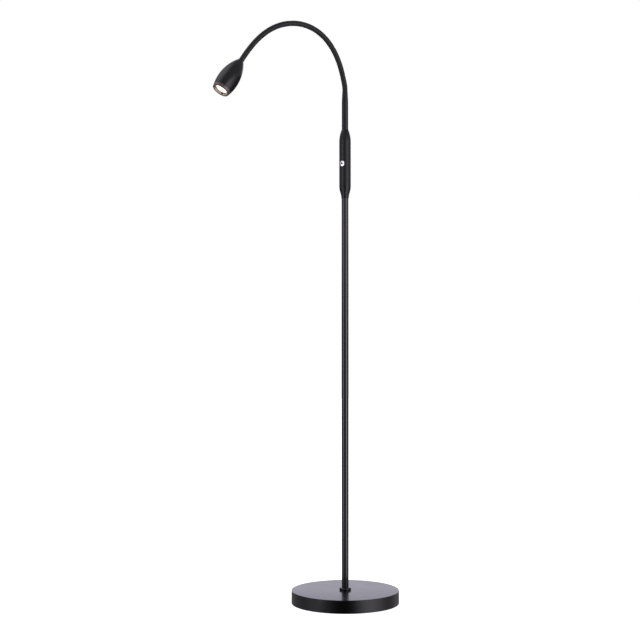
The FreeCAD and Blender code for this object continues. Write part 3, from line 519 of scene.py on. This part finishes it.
def axes_for(direction):
    """Unit vector along an axis, and two square to it."""
    direction = Vector(direction).normalized()
    side = Vector((0, 1, 0)) if abs(direction.y) < 0.9 else Vector((1, 0, 0))
    side = (side - direction * side.dot(direction)).normalized()
    return direction, side, direction.cross(side)


def turn(name, section, origin=(0, 0, 0), direction=(0, 0, 1), sides=96, sharp=SHARP_EDGE):
    """Turn a section of (station, radius) in millimetres about an axis into a closed mesh."""
    along, side, up = axes_for(direction)
    mesh = bpy.data.meshes.new(name)
    build = bmesh.new()
    spokes = [side * math.cos(2 * math.pi * k / sides) + up * math.sin(2 * math.pi * k / sides)
              for k in range(sides)]
    rings = []
    for station, radius in section:
        centre = Vector(origin) + along * station * MM
        ring = spokes if radius > 1e-6 else spokes[:1]
        rings.append([build.verts.new(centre + spoke * radius * MM) for spoke in ring])
    pairs = list(zip(rings, rings[1:]))
    if len(rings[0]) > 1:
        pairs.append((rings[-1], rings[0]))
    for low, high in pairs:
        for k in range(sides):
            n = (k + 1) % sides
            if len(low) == 1:
                build.faces.new((low[0], high[n], high[k]))
            elif len(high) == 1:
                build.faces.new((low[k], low[n], high[0]))
            else:
                build.faces.new((low[k], low[n], high[n], high[k]))
    bmesh.ops.remove_doubles(build, verts=build.verts, dist=1e-7)
    bmesh.ops.recalc_face_normals(build, faces=build.faces)
    build.to_mesh(mesh)
    build.free()
    smooth_by_angle(mesh, sharp)
    return link_object(name, mesh)


def smooth_by_angle(mesh, angle):
    """Shade smooth, and keep the edges that are sharper than an angle."""
    build = bmesh.new()
    build.from_mesh(mesh)
    for face in build.faces:
        face.smooth = True
    for edge in build.edges:
        if len(edge.link_faces) == 2:
            edge.smooth = edge.calc_face_angle() < math.radians(angle)
    build.to_mesh(mesh)
    build.free()


def dress(piece, body, material_slot, *nodes):
    """Give a piece its finish, let it ride, and hide the CAD nodes it stands for."""
    if not any(piece.data.materials):
        piece.data.materials.clear()
        piece.data.materials.append(finishes[material_slot])
    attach(piece, body)
    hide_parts(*nodes)
    print(piece.name, "rides on", body, "with", len(piece.data.polygons), "faces")


# %% [markdown]
# ## Cutting
# The cord's hole, the button's hole and the key slots are drilled or milled on the real lamp. Here
# a Boolean takes the same shape away. Where the cutter has a finish, the new faces keep it.

# %% Cutting helper
def cut_with(piece, cutter, self_crossing=False):
    """Take a cutter away from a piece, and remove the cutter."""
    change = piece.modifiers.new("cut", "BOOLEAN")
    change.operation = "DIFFERENCE"
    change.solver = "EXACT"
    change.object = cutter
    change.material_mode = "TRANSFER"
    change.use_self = self_crossing
    view = bpy.context.evaluated_depsgraph_get()
    mesh = bpy.data.meshes.new_from_object(piece.evaluated_get(view))
    piece.modifiers.remove(change)
    old = piece.data
    piece.data = mesh
    mesh.name = piece.name
    bpy.data.meshes.remove(old)
    bpy.data.objects.remove(cutter)
    smooth_by_angle(mesh, SHARP_EDGE)


print("cutting helper ready")

# %% [markdown]
# ## Base
# The cover is drawn from steel sheet: a flat top, a small rounding all round and a plain wall. It
# hides the cast weight. The rounding matters most, because it draws the thin pale line that
# separates the top from the side.

# %% Base cover
BASE_RADIUS, BASE_TOP, COVER_LIFT, COVER_WALL = 125.0, 31.0, 1.0, 1.5
THREAD_BORE = 5.05
INLET_SPOT, INLET_OUT, INLET_BORE = (0, 0, 10.2 * MM), (1, 0, 0), 4.85
cover_section = rounded(
    [(COVER_LIFT, BASE_RADIUS), (BASE_TOP, BASE_RADIUS), (BASE_TOP, THREAD_BORE),
     (BASE_TOP - COVER_WALL, THREAD_BORE), (BASE_TOP - COVER_WALL, BASE_RADIUS - COVER_WALL),
     (COVER_LIFT, BASE_RADIUS - COVER_WALL)],
    {0: 0.5, 1: 0.9, 4: 0.8, 5: 0.4})
base_cover = turn("base_cover_skin", cover_section, sides=288)
inlet_drill = turn("inlet drill", [(110, 0), (110, INLET_BORE), (130, INLET_BORE), (130, 0)],
                   origin=INLET_SPOT, direction=INLET_OUT, sides=48)
cut_with(base_cover, inlet_drill)
dress(base_cover, "stand", "base_paint", "base_cover")

# %% Pole collar
COLLAR_RADIUS, COLLAR_BORE, COLLAR_TOP = 13.6, 8.1, BASE_TOP + 6.0
collar_section = rounded(
    [(BASE_TOP, COLLAR_BORE), (BASE_TOP, COLLAR_RADIUS), (COLLAR_TOP, COLLAR_RADIUS),
     (COLLAR_TOP, COLLAR_BORE)], {1: 0.3, 2: 3.0, 3: 0.5}, steps=10)
pole_collar = turn("pole_collar_skin", collar_section)
dress(pole_collar, "stand", "base_paint", "pole_collar")

# %% [markdown]
# ## Cord bush
# The base keeps a bush for the power lead, low on the far side. It has a rounded flange outside and
# a bell-mouthed bore, so that a lead never rubs on an edge.

# %% Cord bush
bush_section = rounded(
    [(117.5, 3.3), (117.5, 4.8), (BASE_RADIUS, 4.8), (BASE_RADIUS, 7.0), (127.2, 7.0),
     (127.2, 3.3)], {3: 0.2, 4: 0.9, 5: 0.6})
cord_bush = turn("cord_bush", bush_section, origin=INLET_SPOT, direction=INLET_OUT, sides=64)
dress(cord_bush, "stand", "black_plastic", "cord_gland")

# %% [markdown]
# ## Pole and switch housing
# The pole is plain steel tube. The housing's lower cap swells from it like a slim bottle, the body
# is straight, and its shoulder closes on the ferrule. Each seam between two pieces gets a tiny
# rounding on both sides, which reads as a fine dark line.

# %% Pole
POLE_TOP, POLE_RADIUS, POLE_BORE = 948.5, 8.0, 6.8
pole_section = rounded([(BASE_TOP, POLE_BORE), (BASE_TOP, POLE_RADIUS), (POLE_TOP, POLE_RADIUS),
                        (POLE_TOP, POLE_BORE)], {1: 0.2, 2: 0.2})
pole = turn("pole_skin", pole_section)
dress(pole, "stand", "pole_paint", "pole_tube")

# %% Housing cap
HOUSING_RADIUS, CAP_BOTTOM, CAP_TOP, SEAM_EDGE = 13.5, 940.5, 971.5, 0.2
CAP_MOUTH, CAP_LIP, SPIGOT_RADIUS, SPIGOT_BORE = 8.05, 8.65, 11.45, 9.45
cap_section = [(CAP_BOTTOM, CAP_MOUTH)]
cap_section += bezier((CAP_BOTTOM, CAP_LIP), (CAP_BOTTOM + 11.935, CAP_LIP),
                      (CAP_TOP - 15.5, HOUSING_RADIUS), (CAP_TOP - SEAM_EDGE, HOUSING_RADIUS))
cap_section += [
    (CAP_TOP - SEAM_EDGE, HOUSING_RADIUS), (CAP_TOP, HOUSING_RADIUS - SEAM_EDGE),
    (CAP_TOP, SPIGOT_RADIUS), (CAP_TOP + 8, SPIGOT_RADIUS), (CAP_TOP + 8, SPIGOT_BORE),
    (CAP_TOP - 11, SPIGOT_BORE), (POLE_TOP + 4, 7.6), (POLE_TOP + 4, THREAD_BORE),
    (POLE_TOP, THREAD_BORE), (POLE_TOP, CAP_MOUTH)]
housing_cap = turn("housing_cap_skin", cap_section)
dress(housing_cap, "stand", "housing_paint", "housing_cap")

# %% Housing body
STRAIGHT_TOP, HOUSING_TOP, HOUSING_BORE, HOUSING_MOUTH = 1072.3, 1100.3, 11.5, 7.55
BUTTON_SPOT, BUTTON_TURN, BUTTON_BORE = Vector((0, 0, 1020.4 * MM)), math.radians(206), 8.13
BUTTON_OUT = Vector((math.cos(BUTTON_TURN), math.sin(BUTTON_TURN), 0))
body_section = [(CAP_TOP, HOUSING_BORE), (CAP_TOP, HOUSING_RADIUS - SEAM_EDGE),
                (CAP_TOP + SEAM_EDGE, HOUSING_RADIUS)]
body_section += bezier((STRAIGHT_TOP, HOUSING_RADIUS), (STRAIGHT_TOP + 12.04, HOUSING_RADIUS),
                       (HOUSING_TOP - 5.04, 9.55), (HOUSING_TOP, HOUSING_MOUTH))
body_section += [
    (HOUSING_TOP, HOUSING_MOUTH), (HOUSING_TOP, THREAD_BORE), (HOUSING_TOP - 14, THREAD_BORE),
    (HOUSING_TOP - 14, 8.5), (STRAIGHT_TOP, HOUSING_BORE)]
housing_body = turn("housing_body_skin", body_section, sides=128)
button_drill = turn("button drill", [(0, 0), (0, BUTTON_BORE), (27, BUTTON_BORE), (27, 0)],
                    origin=BUTTON_SPOT, direction=BUTTON_OUT, sides=64)
cut_with(housing_body, button_drill)
dress(housing_body, "stand", "housing_paint", "housing_body")

# %% [markdown]
# ## Push button
# A polished metal button sits in a black bush. Its crowned face mirrors the bright strip of the
# studio. Its rounded edge and the small dimple in its middle are painted black: painted shade on
# the edge, and a painted dark reflection in the dimple, so from afar it reads as a bright ring
# with a dark spot.

# %% Button bush
guide_section = rounded(
    [(4.5, 7.28), (10.0, 7.28), (10.0, 6.88), (14.4, 6.88), (14.4, 8.08), (4.5, 8.08)],
    {3: 0.25, 4: 0.45})
button_guide = turn("button_bush", guide_section, origin=BUTTON_SPOT, direction=BUTTON_OUT)
dress(button_guide, "stand", "black_plastic", "button_guide")

# %% Button
FACE_STATION, CROWN_RADIUS, CROWN_RISE, EDGE_RADIUS = 15.2, 6.0, 0.5, 0.8
DIMPLE_RADIUS, DIMPLE_DEPTH = 2.7, 0.5
BRIGHT_FROM, BRIGHT_TO = 2.6, 6.15


def crown(radius):
    """Station of the crowned face at a radius."""
    sweep = sweep_of(CROWN_RADIUS, CROWN_RISE)
    return FACE_STATION - (sweep - math.sqrt(sweep ** 2 - radius ** 2))


def dimple(radius):
    """Station of the dimple's bowl at a radius."""
    sweep = sweep_of(DIMPLE_RADIUS, DIMPLE_DEPTH)
    return FACE_STATION - DIMPLE_DEPTH + sweep - math.sqrt(sweep ** 2 - radius ** 2)


button_section = rounded([(8.7, 0.0), (8.7, 7.2), (9.7, 7.2), (9.7, 6.8)], {1: 0.15, 2: 0.15})
button_section += [(FACE_STATION - CROWN_RISE + EDGE_RADIUS * (math.sin(a) - 1),
                    CROWN_RADIUS + EDGE_RADIUS * math.cos(a))
                   for a in (math.radians(10 * k) for k in range(9))]
button_section += [(crown(r), r) for r in (CROWN_RADIUS, 5.4, 4.8, 4.2, 3.6, 3.2, 2.95, 2.8)]
button_section += [(dimple(r), r) for r in (2.5, 2.1, 1.7, 1.3, 0.9, 0.5)]
button_section += [(FACE_STATION - DIMPLE_DEPTH, 0.0)]
button = turn("button_face", button_section, origin=BUTTON_SPOT, direction=BUTTON_OUT, sharp=40)
button.data.materials.append(finishes["button_chrome"])
button.data.materials.append(finishes["black_plastic"])
# Faces outside the bright band take the black finish: painted shade on the rounded edge and a painted dark
# reflection in the dimple.
for face in button.data.polygons:
    middle = Vector(face.center) - BUTTON_SPOT
    reach = (middle - BUTTON_OUT * middle.dot(BUTTON_OUT)).length / MM
    face.material_index = 0 if BRIGHT_FROM < reach < BRIGHT_TO else 1
dress(button, "button", "button_chrome", "button_cap")

# %% [markdown]
# ## Ferrule
# A turned sleeve joins the housing to the neck. It is straight, and then tapers to the neck's own
# width. It ends in the ball that the first length of the neck turns on.

# %% Ferrule
FERRULE_TOP, NECK_START, BALL_RADIUS = 1164.0, 1190.0, 5.85
FERRULE_RADIUS, LEAD_BORE, THREAD_RADIUS = 7.45, 2.4, 5.0
ferrule_section = rounded(
    [(HOUSING_TOP - 19, LEAD_BORE), (HOUSING_TOP - 19, THREAD_RADIUS),
     (HOUSING_TOP, THREAD_RADIUS), (HOUSING_TOP, FERRULE_RADIUS), (FERRULE_TOP, FERRULE_RADIUS),
     (NECK_START - 1.2, 6.2), (NECK_START - 0.6, BALL_RADIUS)],
    {3: 0.5, 4: 3.0, 5: 0.4})
ferrule_section += [(NECK_START + BALL_RADIUS * math.sin(a), BALL_RADIUS * math.cos(a))
                    for a in (math.radians(7 * k) for k in range(10))]
ferrule_section += [(NECK_START + 5.0, LEAD_BORE)]
ferrule = turn("ferrule_skin", ferrule_section, sharp=40)
dress(ferrule, "stand", "housing_paint", "neck_ferrule")

# %% [markdown]
# ## Wound neck
# The neck is a steel hose wound from wire. Twelve links carry it, joined by ball joints. The skin
# is drawn along one smooth line that weaves evenly about the links' axes, a hair inside each joint,
# and is cut at each joint. Each length ends in a ball, which turns inside the next length, so no
# gap opens when the neck bends. From outside the ball is just one more groove.
# The ribs follow a rule, a helix of a fixed pitch, so Geometry Nodes make them: a circle is swept
# along the line, and each point is then pushed out by how far it is round and along the winding.

# %% Neck line
LINKS, HEAD_TURN, JOINT_PULL = 12, math.radians(143), 1 / 16
HEAD_DIRECTION = Vector((-math.sin(HEAD_TURN), 0, math.cos(HEAD_TURN)))
joints = {joint["name"]: joint for joint in frame["joints"]}
neck_names = (["neck_lean", "neck_curl"] + ["neck_curl_%02d" % k for k in range(2, 10)]
              + ["head_tilt", "head_lean"])
neck_points = [Vector(joints[name]["pos_m"]) for name in neck_names]
link_length = (neck_points[1] - neck_points[0]).length
HEAD_BACK = neck_points[-1] + HEAD_DIRECTION * link_length
neck_points.append(HEAD_BACK)
neck_points[1:-1] = [b + (a + c - 2 * b) * JOINT_PULL
                     for a, b, c in zip(neck_points, neck_points[1:], neck_points[2:])]
chords = [(b - a).normalized() for a, b in zip(neck_points, neck_points[1:])]
headings = ([Vector((0, 0, 1))] + [(a + b).normalized() for a, b in zip(chords, chords[1:])]
            + [HEAD_DIRECTION])


def neck_spot(k, f):
    """Point of the smooth line in link k, at a share f of its length."""
    a, b = neck_points[k], neck_points[k + 1]
    start, end = headings[k] * link_length, headings[k + 1] * link_length
    return (a * (2 * f ** 3 - 3 * f ** 2 + 1) + start * (f ** 3 - 2 * f ** 2 + f)
            + b * (3 * f ** 2 - 2 * f ** 3) + end * (f ** 3 - f ** 2))


print("neck line through", len(neck_points), "points, links of", round(link_length / MM, 2), "mm")

# %% Winding tree
def build_winding():
    """Geometry Nodes: sweep a circle along a line and raise a helical rib on it."""
    tree = bpy.data.node_groups.new("wound neck", "GeometryNodeTree")
    start, end = tree_ends(
        tree, (("Centre Line", "Geometry"), ("Groove Radius", "Float"), ("Rib Height", "Float"),
               ("Rib Pitch", "Float"), ("Start Length", "Float"), ("Joint Length", "Float"),
               ("Gap", "Float"), ("Rings", "Int"), ("Sides", "Int"), ("Finish", "Material")),
        (("Wound Neck", "Geometry"),))
    even = add(tree, "GeometryNodeResampleCurve", (-1200, 200))
    place = add(tree, "GeometryNodeInputPosition", (-1200, -100))
    heading = add(tree, "GeometryNodeInputTangent", (-1200, -200))
    along = add(tree, "GeometryNodeSplineParameter", (-1200, -300))
    keep = add(tree, "GeometryNodeCaptureAttribute", (-950, 100))
    keep.capture_items.new("VECTOR", "Centre")
    keep.capture_items.new("VECTOR", "Heading")
    keep.capture_items.new("FLOAT", "Length")
    circle = add(tree, "GeometryNodeCurvePrimitiveCircle", (-950, -250))
    sweep = add(tree, "GeometryNodeCurveToMesh", (-700, 100))
    sweep.inputs["Fill Caps"].default_value = True
    wire(tree, ((start, "Centre Line"), (even, "Curve")), ((start, "Rings"), (even, "Count")),
         ((even, "Curve"), (keep, 0)), ((place, 0), (keep, 1)), ((heading, 0), (keep, 2)),
         ((along, "Length"), (keep, 3)), ((keep, 0), (sweep, "Curve")),
         ((start, "Groove Radius"), (circle, "Radius")), ((start, "Sides"), (circle, "Resolution")),
         ((circle, "Curve"), (sweep, "Profile Curve")))
    spot = add(tree, "GeometryNodeInputPosition", (-700, -200))
    out = add(tree, "ShaderNodeVectorMath", (-500, -200), operation="SUBTRACT")
    unit = add(tree, "ShaderNodeVectorMath", (-350, -200), operation="NORMALIZE")
    square = add(tree, "ShaderNodeVectorMath", (-500, -400), operation="CROSS_PRODUCT")
    square.inputs[0].default_value = (0, 1, 0)
    high = add(tree, "ShaderNodeVectorMath", (-200, -350), operation="DOT_PRODUCT")
    side = add(tree, "ShaderNodeSeparateXYZ", (-200, -200))
    wire(tree, ((spot, 0), (out, 0)), ((keep, 1), (out, 1)), ((out, 0), (unit, 0)),
         ((keep, 2), (square, 1)), ((unit, 0), (high, 0)), ((square, 0), (high, 1)),
         ((unit, 0), (side, "Vector")))
    turn_share = calculate(tree, "ARCTAN2", (side, "Y"), (high, "Value"), place=(0, -250))
    length = calculate(tree, "ADD", (keep, 3), (start, "Start Length"), place=(-200, -550))
    turns = calculate(tree, "DIVIDE", length, (start, "Rib Pitch"), place=(0, -500))
    phase = calculate(tree, "MULTIPLY_ADD", turn_share, 0.5 / math.pi, turns, place=(200, -300))
    phase = calculate(tree, "FRACT", phase, place=(350, -300))
    wave = calculate(tree, "SINE", calculate(tree, "MULTIPLY", phase, math.pi, place=(500, -300)),
                     place=(650, -300))
    crest = calculate(tree, "POWER", wave, RIB_FULLNESS, place=(800, -300))
    left = calculate(tree, "SUBTRACT", (start, "Joint Length"), (keep, 3), place=(0, -700))
    ribbed = calculate(tree, "SUBTRACT", left, (start, "Gap"), place=(200, -700))
    ribbed = calculate(tree, "MINIMUM", ribbed, (keep, 3), place=(350, -700))
    ribbed = calculate(tree, "DIVIDE", ribbed, RIB_FADE * MM, place=(500, -700))
    ribbed[0].use_clamp = True
    crest = calculate(tree, "MULTIPLY", crest, ribbed, place=(900, -450))
    past = calculate(tree, "MINIMUM", left, 0.0, place=(200, -900))
    fallen = calculate(tree, "MULTIPLY", past, past, place=(350, -900))
    full = calculate(tree, "MULTIPLY", (start, "Groove Radius"), (start, "Groove Radius"),
                     place=(350, -1050))
    ball = calculate(tree, "SUBTRACT", full, fallen, place=(500, -900))
    ball = calculate(tree, "SQRT", calculate(tree, "MAXIMUM", ball, 1e-10, place=(650, -900)),
                     place=(800, -900))
    radius = calculate(tree, "MULTIPLY_ADD", crest, (start, "Rib Height"), ball,
                       place=(950, -300))
    push = add(tree, "ShaderNodeVectorMath", (1000, -100), operation="SCALE")
    goal = add(tree, "ShaderNodeVectorMath", (1100, -250), operation="ADD")
    move = add(tree, "GeometryNodeSetPosition", (1150, 100))
    smooth = add(tree, "GeometryNodeSetShadeSmooth", (1250, 100))
    real = add(tree, "GeometryNodeRealizeInstances", (1350, 100))
    paint = add(tree, "GeometryNodeSetMaterial", (1450, 100))
    wire(tree, ((unit, 0), (push, 0)), (radius, (push, "Scale")), ((push, 0), (goal, 0)),
         ((keep, 1), (goal, 1)), ((goal, 0), (move, "Position")), ((sweep, 0), (move, 0)),
         ((move, 0), (smooth, 0)), ((smooth, 0), (real, 0)), ((real, 0), (paint, 0)),
         ((start, "Finish"), (paint, "Material")), ((paint, 0), (end, 0)))
    return tree


RIB_FADE, RIB_FULLNESS = 0.5, 0.62
winding = build_winding()
sockets = {item.name: item.identifier for item in winding.interface.items_tree
           if item.in_out == "INPUT"}
print("winding tree inputs:", ", ".join(sockets))

# %% Neck lengths
GROOVE_RADIUS, RIB_HEIGHT, RIB_PITCH, JOINT_GAP = 5.72, 0.48, 2.8, 1.05
LINE_STEPS, BALL_STEPS, RINGS_PER_RIB, NECK_SIDES = 96, 24, 9, 40
BALL_LENGTH = GROOVE_RADIUS - 0.01


def wind(name, points, start_length, ball_length):
    """One length of the wound neck along some points, with a ball of some length at its end."""
    line = bpy.data.curves.new(name + " line", "CURVE")
    line.dimensions = "3D"
    run = line.splines.new("POLY")
    run.points.add(len(points) - 1)
    for spot, point in zip(run.points, points):
        spot.co = (*point, 1)
    guide = link_object(name + " line", line)
    change = guide.modifiers.new("winding", "NODES")
    change.node_group = winding
    length = sum((b - a).length for a, b in zip(points, points[1:]))
    rings = round(length / (RIB_PITCH * MM) * RINGS_PER_RIB) + 1
    for label, value in (("Groove Radius", GROOVE_RADIUS * MM), ("Rib Height", RIB_HEIGHT * MM),
                         ("Rib Pitch", RIB_PITCH * MM), ("Start Length", start_length),
                         ("Joint Length", length - ball_length), ("Gap", JOINT_GAP * MM),
                         ("Rings", rings), ("Sides", NECK_SIDES),
                         ("Finish", finishes["neck_paint"])):
        change[sockets[label]] = value
    view = bpy.context.evaluated_depsgraph_get()
    mesh = bpy.data.meshes.new_from_object(guide.evaluated_get(view))
    mesh.name = name
    bpy.data.objects.remove(guide)
    return link_object(name, mesh), length


neck_bodies = ["neck_%02d" % k for k in range(1, LINKS)] + ["head"]
wound_length, skipped = 0.0, JOINT_GAP * MM / link_length
for k in range(LINKS):
    spots = [neck_spot(k, skipped + (1 - skipped) * s / LINE_STEPS) for s in range(LINE_STEPS + 1)]
    ball_length = 0.0
    if k < LINKS - 1:
        ball_length = BALL_LENGTH * MM
        spots += [neck_points[k + 1] + headings[k + 1] * ball_length * s / BALL_STEPS
                  for s in range(1, BALL_STEPS + 1)]
    neck_piece, length = wind("neck_skin_%02d" % (k + 1), spots, wound_length, ball_length)
    wound_length += length - ball_length + JOINT_GAP * MM
    dress(neck_piece, neck_bodies[k], "neck_paint", "neck_link_%02d" % (k + 1))
print("wound neck:", round(wound_length / MM, 1), "mm,", round(wound_length / MM / RIB_PITCH),
      "turns")

# %% [markdown]
# ## Head
# The head is an egg cut off at the mouth: one long arc from its narrow back to the belly, and one
# on to the mouth. It is spun from aluminium in two pieces, the shell and a front ring, with a fine
# seam between them.

# %% Head outline
BELLY_STATION, BELLY_RADIUS, HEAD_LENGTH, MOUTH_RADIUS, BACK_RADIUS = 57.0, 23.9, 87.3, 19.3, 7.0
SEAM, SHELL_WALL, SHELL_BORE, RING_BACK = 80.3, 2.0, 19.05, 58.3


def head_radius(station, inset=0.0):
    """Outside radius of the head at a station from its back."""
    if station < BELLY_STATION:
        run, drop = BELLY_STATION, BELLY_RADIUS - BACK_RADIUS
    else:
        run, drop = HEAD_LENGTH - BELLY_STATION, BELLY_RADIUS - MOUTH_RADIUS
    sweep = sweep_of(run, drop)
    return BELLY_RADIUS - sweep + math.sqrt((sweep - inset) ** 2 - (station - BELLY_STATION) ** 2)


def turn_on_head(name, section):
    """Turn a section about the head's own axis."""
    return turn(name, section, origin=HEAD_BACK, direction=HEAD_DIRECTION, sides=128)


print("belly", BELLY_RADIUS * 2, "mm, mouth", MOUTH_RADIUS * 2, "mm")

# %% Head shell
shell_outside = [(s, head_radius(s)) for s in (0.35 + (SEAM - 0.6) * k / 60 for k in range(61))]
shell_section = [(0.0, 4.05), (0.0, head_radius(0) - 0.5), (0.1, head_radius(0) - 0.15)]
shell_section += shell_outside
shell_section += [(SEAM - 0.06, head_radius(SEAM) - 0.1), (SEAM, head_radius(SEAM) - 0.3),
                  (SEAM, SHELL_BORE), (RING_BACK, SHELL_BORE)]
shell_section += [(s, head_radius(s, SHELL_WALL)) for s in (RING_BACK, 50, 40, 30, 20, 10, 5)]
shell_section += [(5.0, 4.05)]
head_shell = turn_on_head("head_shell_skin", shell_section)
dress(head_shell, "head", "head_paint", "head_shell")

# %% [markdown]
# ## Front ring and mouth
# The front ring carries the light module. Its lip is rolled in and lacquered like its outside, in
# a brown black that is a little paler and warmer than the shell's: painted light, the lens's warm
# glow on the ring. The wall behind the lip catches the light of the lens. Four slots in it take the
# fitter's key. Their insides keep the dark lacquer, which paints shade in them, so they show as
# notches against the lit wall.

# %% Front ring
RING_RADIUS, RING_BORE, LIP_LENGTH, LENS_FRONT = 19.0, 17.6, 1.5, 81.5
ring_outside = [(s, head_radius(s)) for s in (SEAM + 0.25 + (HEAD_LENGTH - SEAM - 0.9) * k / 10
                                              for k in range(11))]
ring_section = [(SEAM, RING_RADIUS), (SEAM, head_radius(SEAM) - 0.3),
                (SEAM + 0.06, head_radius(SEAM) - 0.1)]
ring_section += ring_outside
ring_section += [(HEAD_LENGTH - back, radius) for back, radius in (
    (0.32, MOUTH_RADIUS - 0.04), (0.1, MOUTH_RADIUS - 0.22), (0, MOUTH_RADIUS - 0.6), (0, 17.5),
    (0.15, 17.2), (0.5, 17.05), (LIP_LENGTH, 17.0))]
ring_section += [(83.2, 16.75), (82.3, 16.6), (LENS_FRONT, 16.6), (LENS_FRONT, RING_BORE),
                 (RING_BACK, RING_BORE), (RING_BACK, RING_RADIUS)]
front_ring = turn_on_head("front_ring_skin", ring_section)
front_ring.data.materials.append(finishes["ring_lacquer"])
front_ring.data.materials.append(finishes["mouth_wall"])
for face in front_ring.data.polygons:
    middle = Vector(face.center) - HEAD_BACK
    station = middle.dot(HEAD_DIRECTION) / MM
    reach = (middle - HEAD_DIRECTION * station * MM).length / MM
    if LENS_FRONT + 0.4 < station < HEAD_LENGTH - LIP_LENGTH and reach < 17.2:
        face.material_index = 1

# %% Key slots
KEY_SLOTS, SLOT_WIDTH, SLOT_BACK, SLOT_FRONT = 4, 4.6, 81.45, 86.4


def key_slot_cutter():
    """Cutter for all the slots: a crossed pair of bars through the axis, in front of the lens."""
    along, side, up = axes_for(HEAD_DIRECTION)
    build = bmesh.new()
    for k in range(KEY_SLOTS // 2):
        turned = math.radians(45 + 90 * k)
        out = side * math.cos(turned) + up * math.sin(turned)
        bar = Matrix((along, out, along.cross(out))).transposed().to_4x4()
        bar.translation = HEAD_BACK + along * 0.5 * (SLOT_BACK + SLOT_FRONT) * MM
        size = Matrix.Diagonal(((SLOT_FRONT - SLOT_BACK) * MM, 2 * RING_BORE * MM,
                                SLOT_WIDTH * MM, 1))
        bmesh.ops.create_cube(build, size=1, matrix=bar @ size)
    bmesh.ops.recalc_face_normals(build, faces=build.faces)
    mesh = bpy.data.meshes.new("key slot cutter")
    build.to_mesh(mesh)
    build.free()
    # The slots' new faces take the ring's dark lacquer: painted shade inside them, so they read as dark notches.
    mesh.materials.append(finishes["ring_lacquer"])
    return link_object("key slot cutter", mesh)


cut_with(front_ring, key_slot_cutter(), self_crossing=True)
dress(front_ring, "head", "head_paint", "front_ring")

# %% Lens
LENS_RADIUS, LENS_DOME, LENS_GLOW = 15.5, 0.35, 12.9
lens_section = [(68.0, 0.0), (68.0, 6.0), (76.9, 14.5), (78.7, 14.5), (78.7, 15.8), (81.2, 15.8),
                (81.45, 15.55)]
lens_section += [(LENS_FRONT + LENS_DOME * (1 - (r / LENS_RADIUS) ** 2), r)
                 for r in (15.2, 14.2, LENS_GLOW + 0.4, LENS_GLOW - 0.4, 11, 9, 7, 5, 3, 1.5, 0)]
lens = turn_on_head("lens_face", lens_section)
rim = lens.data.attributes.new("rim", "FLOAT", "POINT")
for vertex in lens.data.vertices:
    across = (vertex.co - HEAD_BACK).cross(HEAD_DIRECTION).length / MM
    rim.data[vertex.index].value = 1.0 if across > LENS_GLOW else 0.0
dress(lens, "head", "lens_lit", "lens")

# %% Finish
bpy.context.view_layer.update()
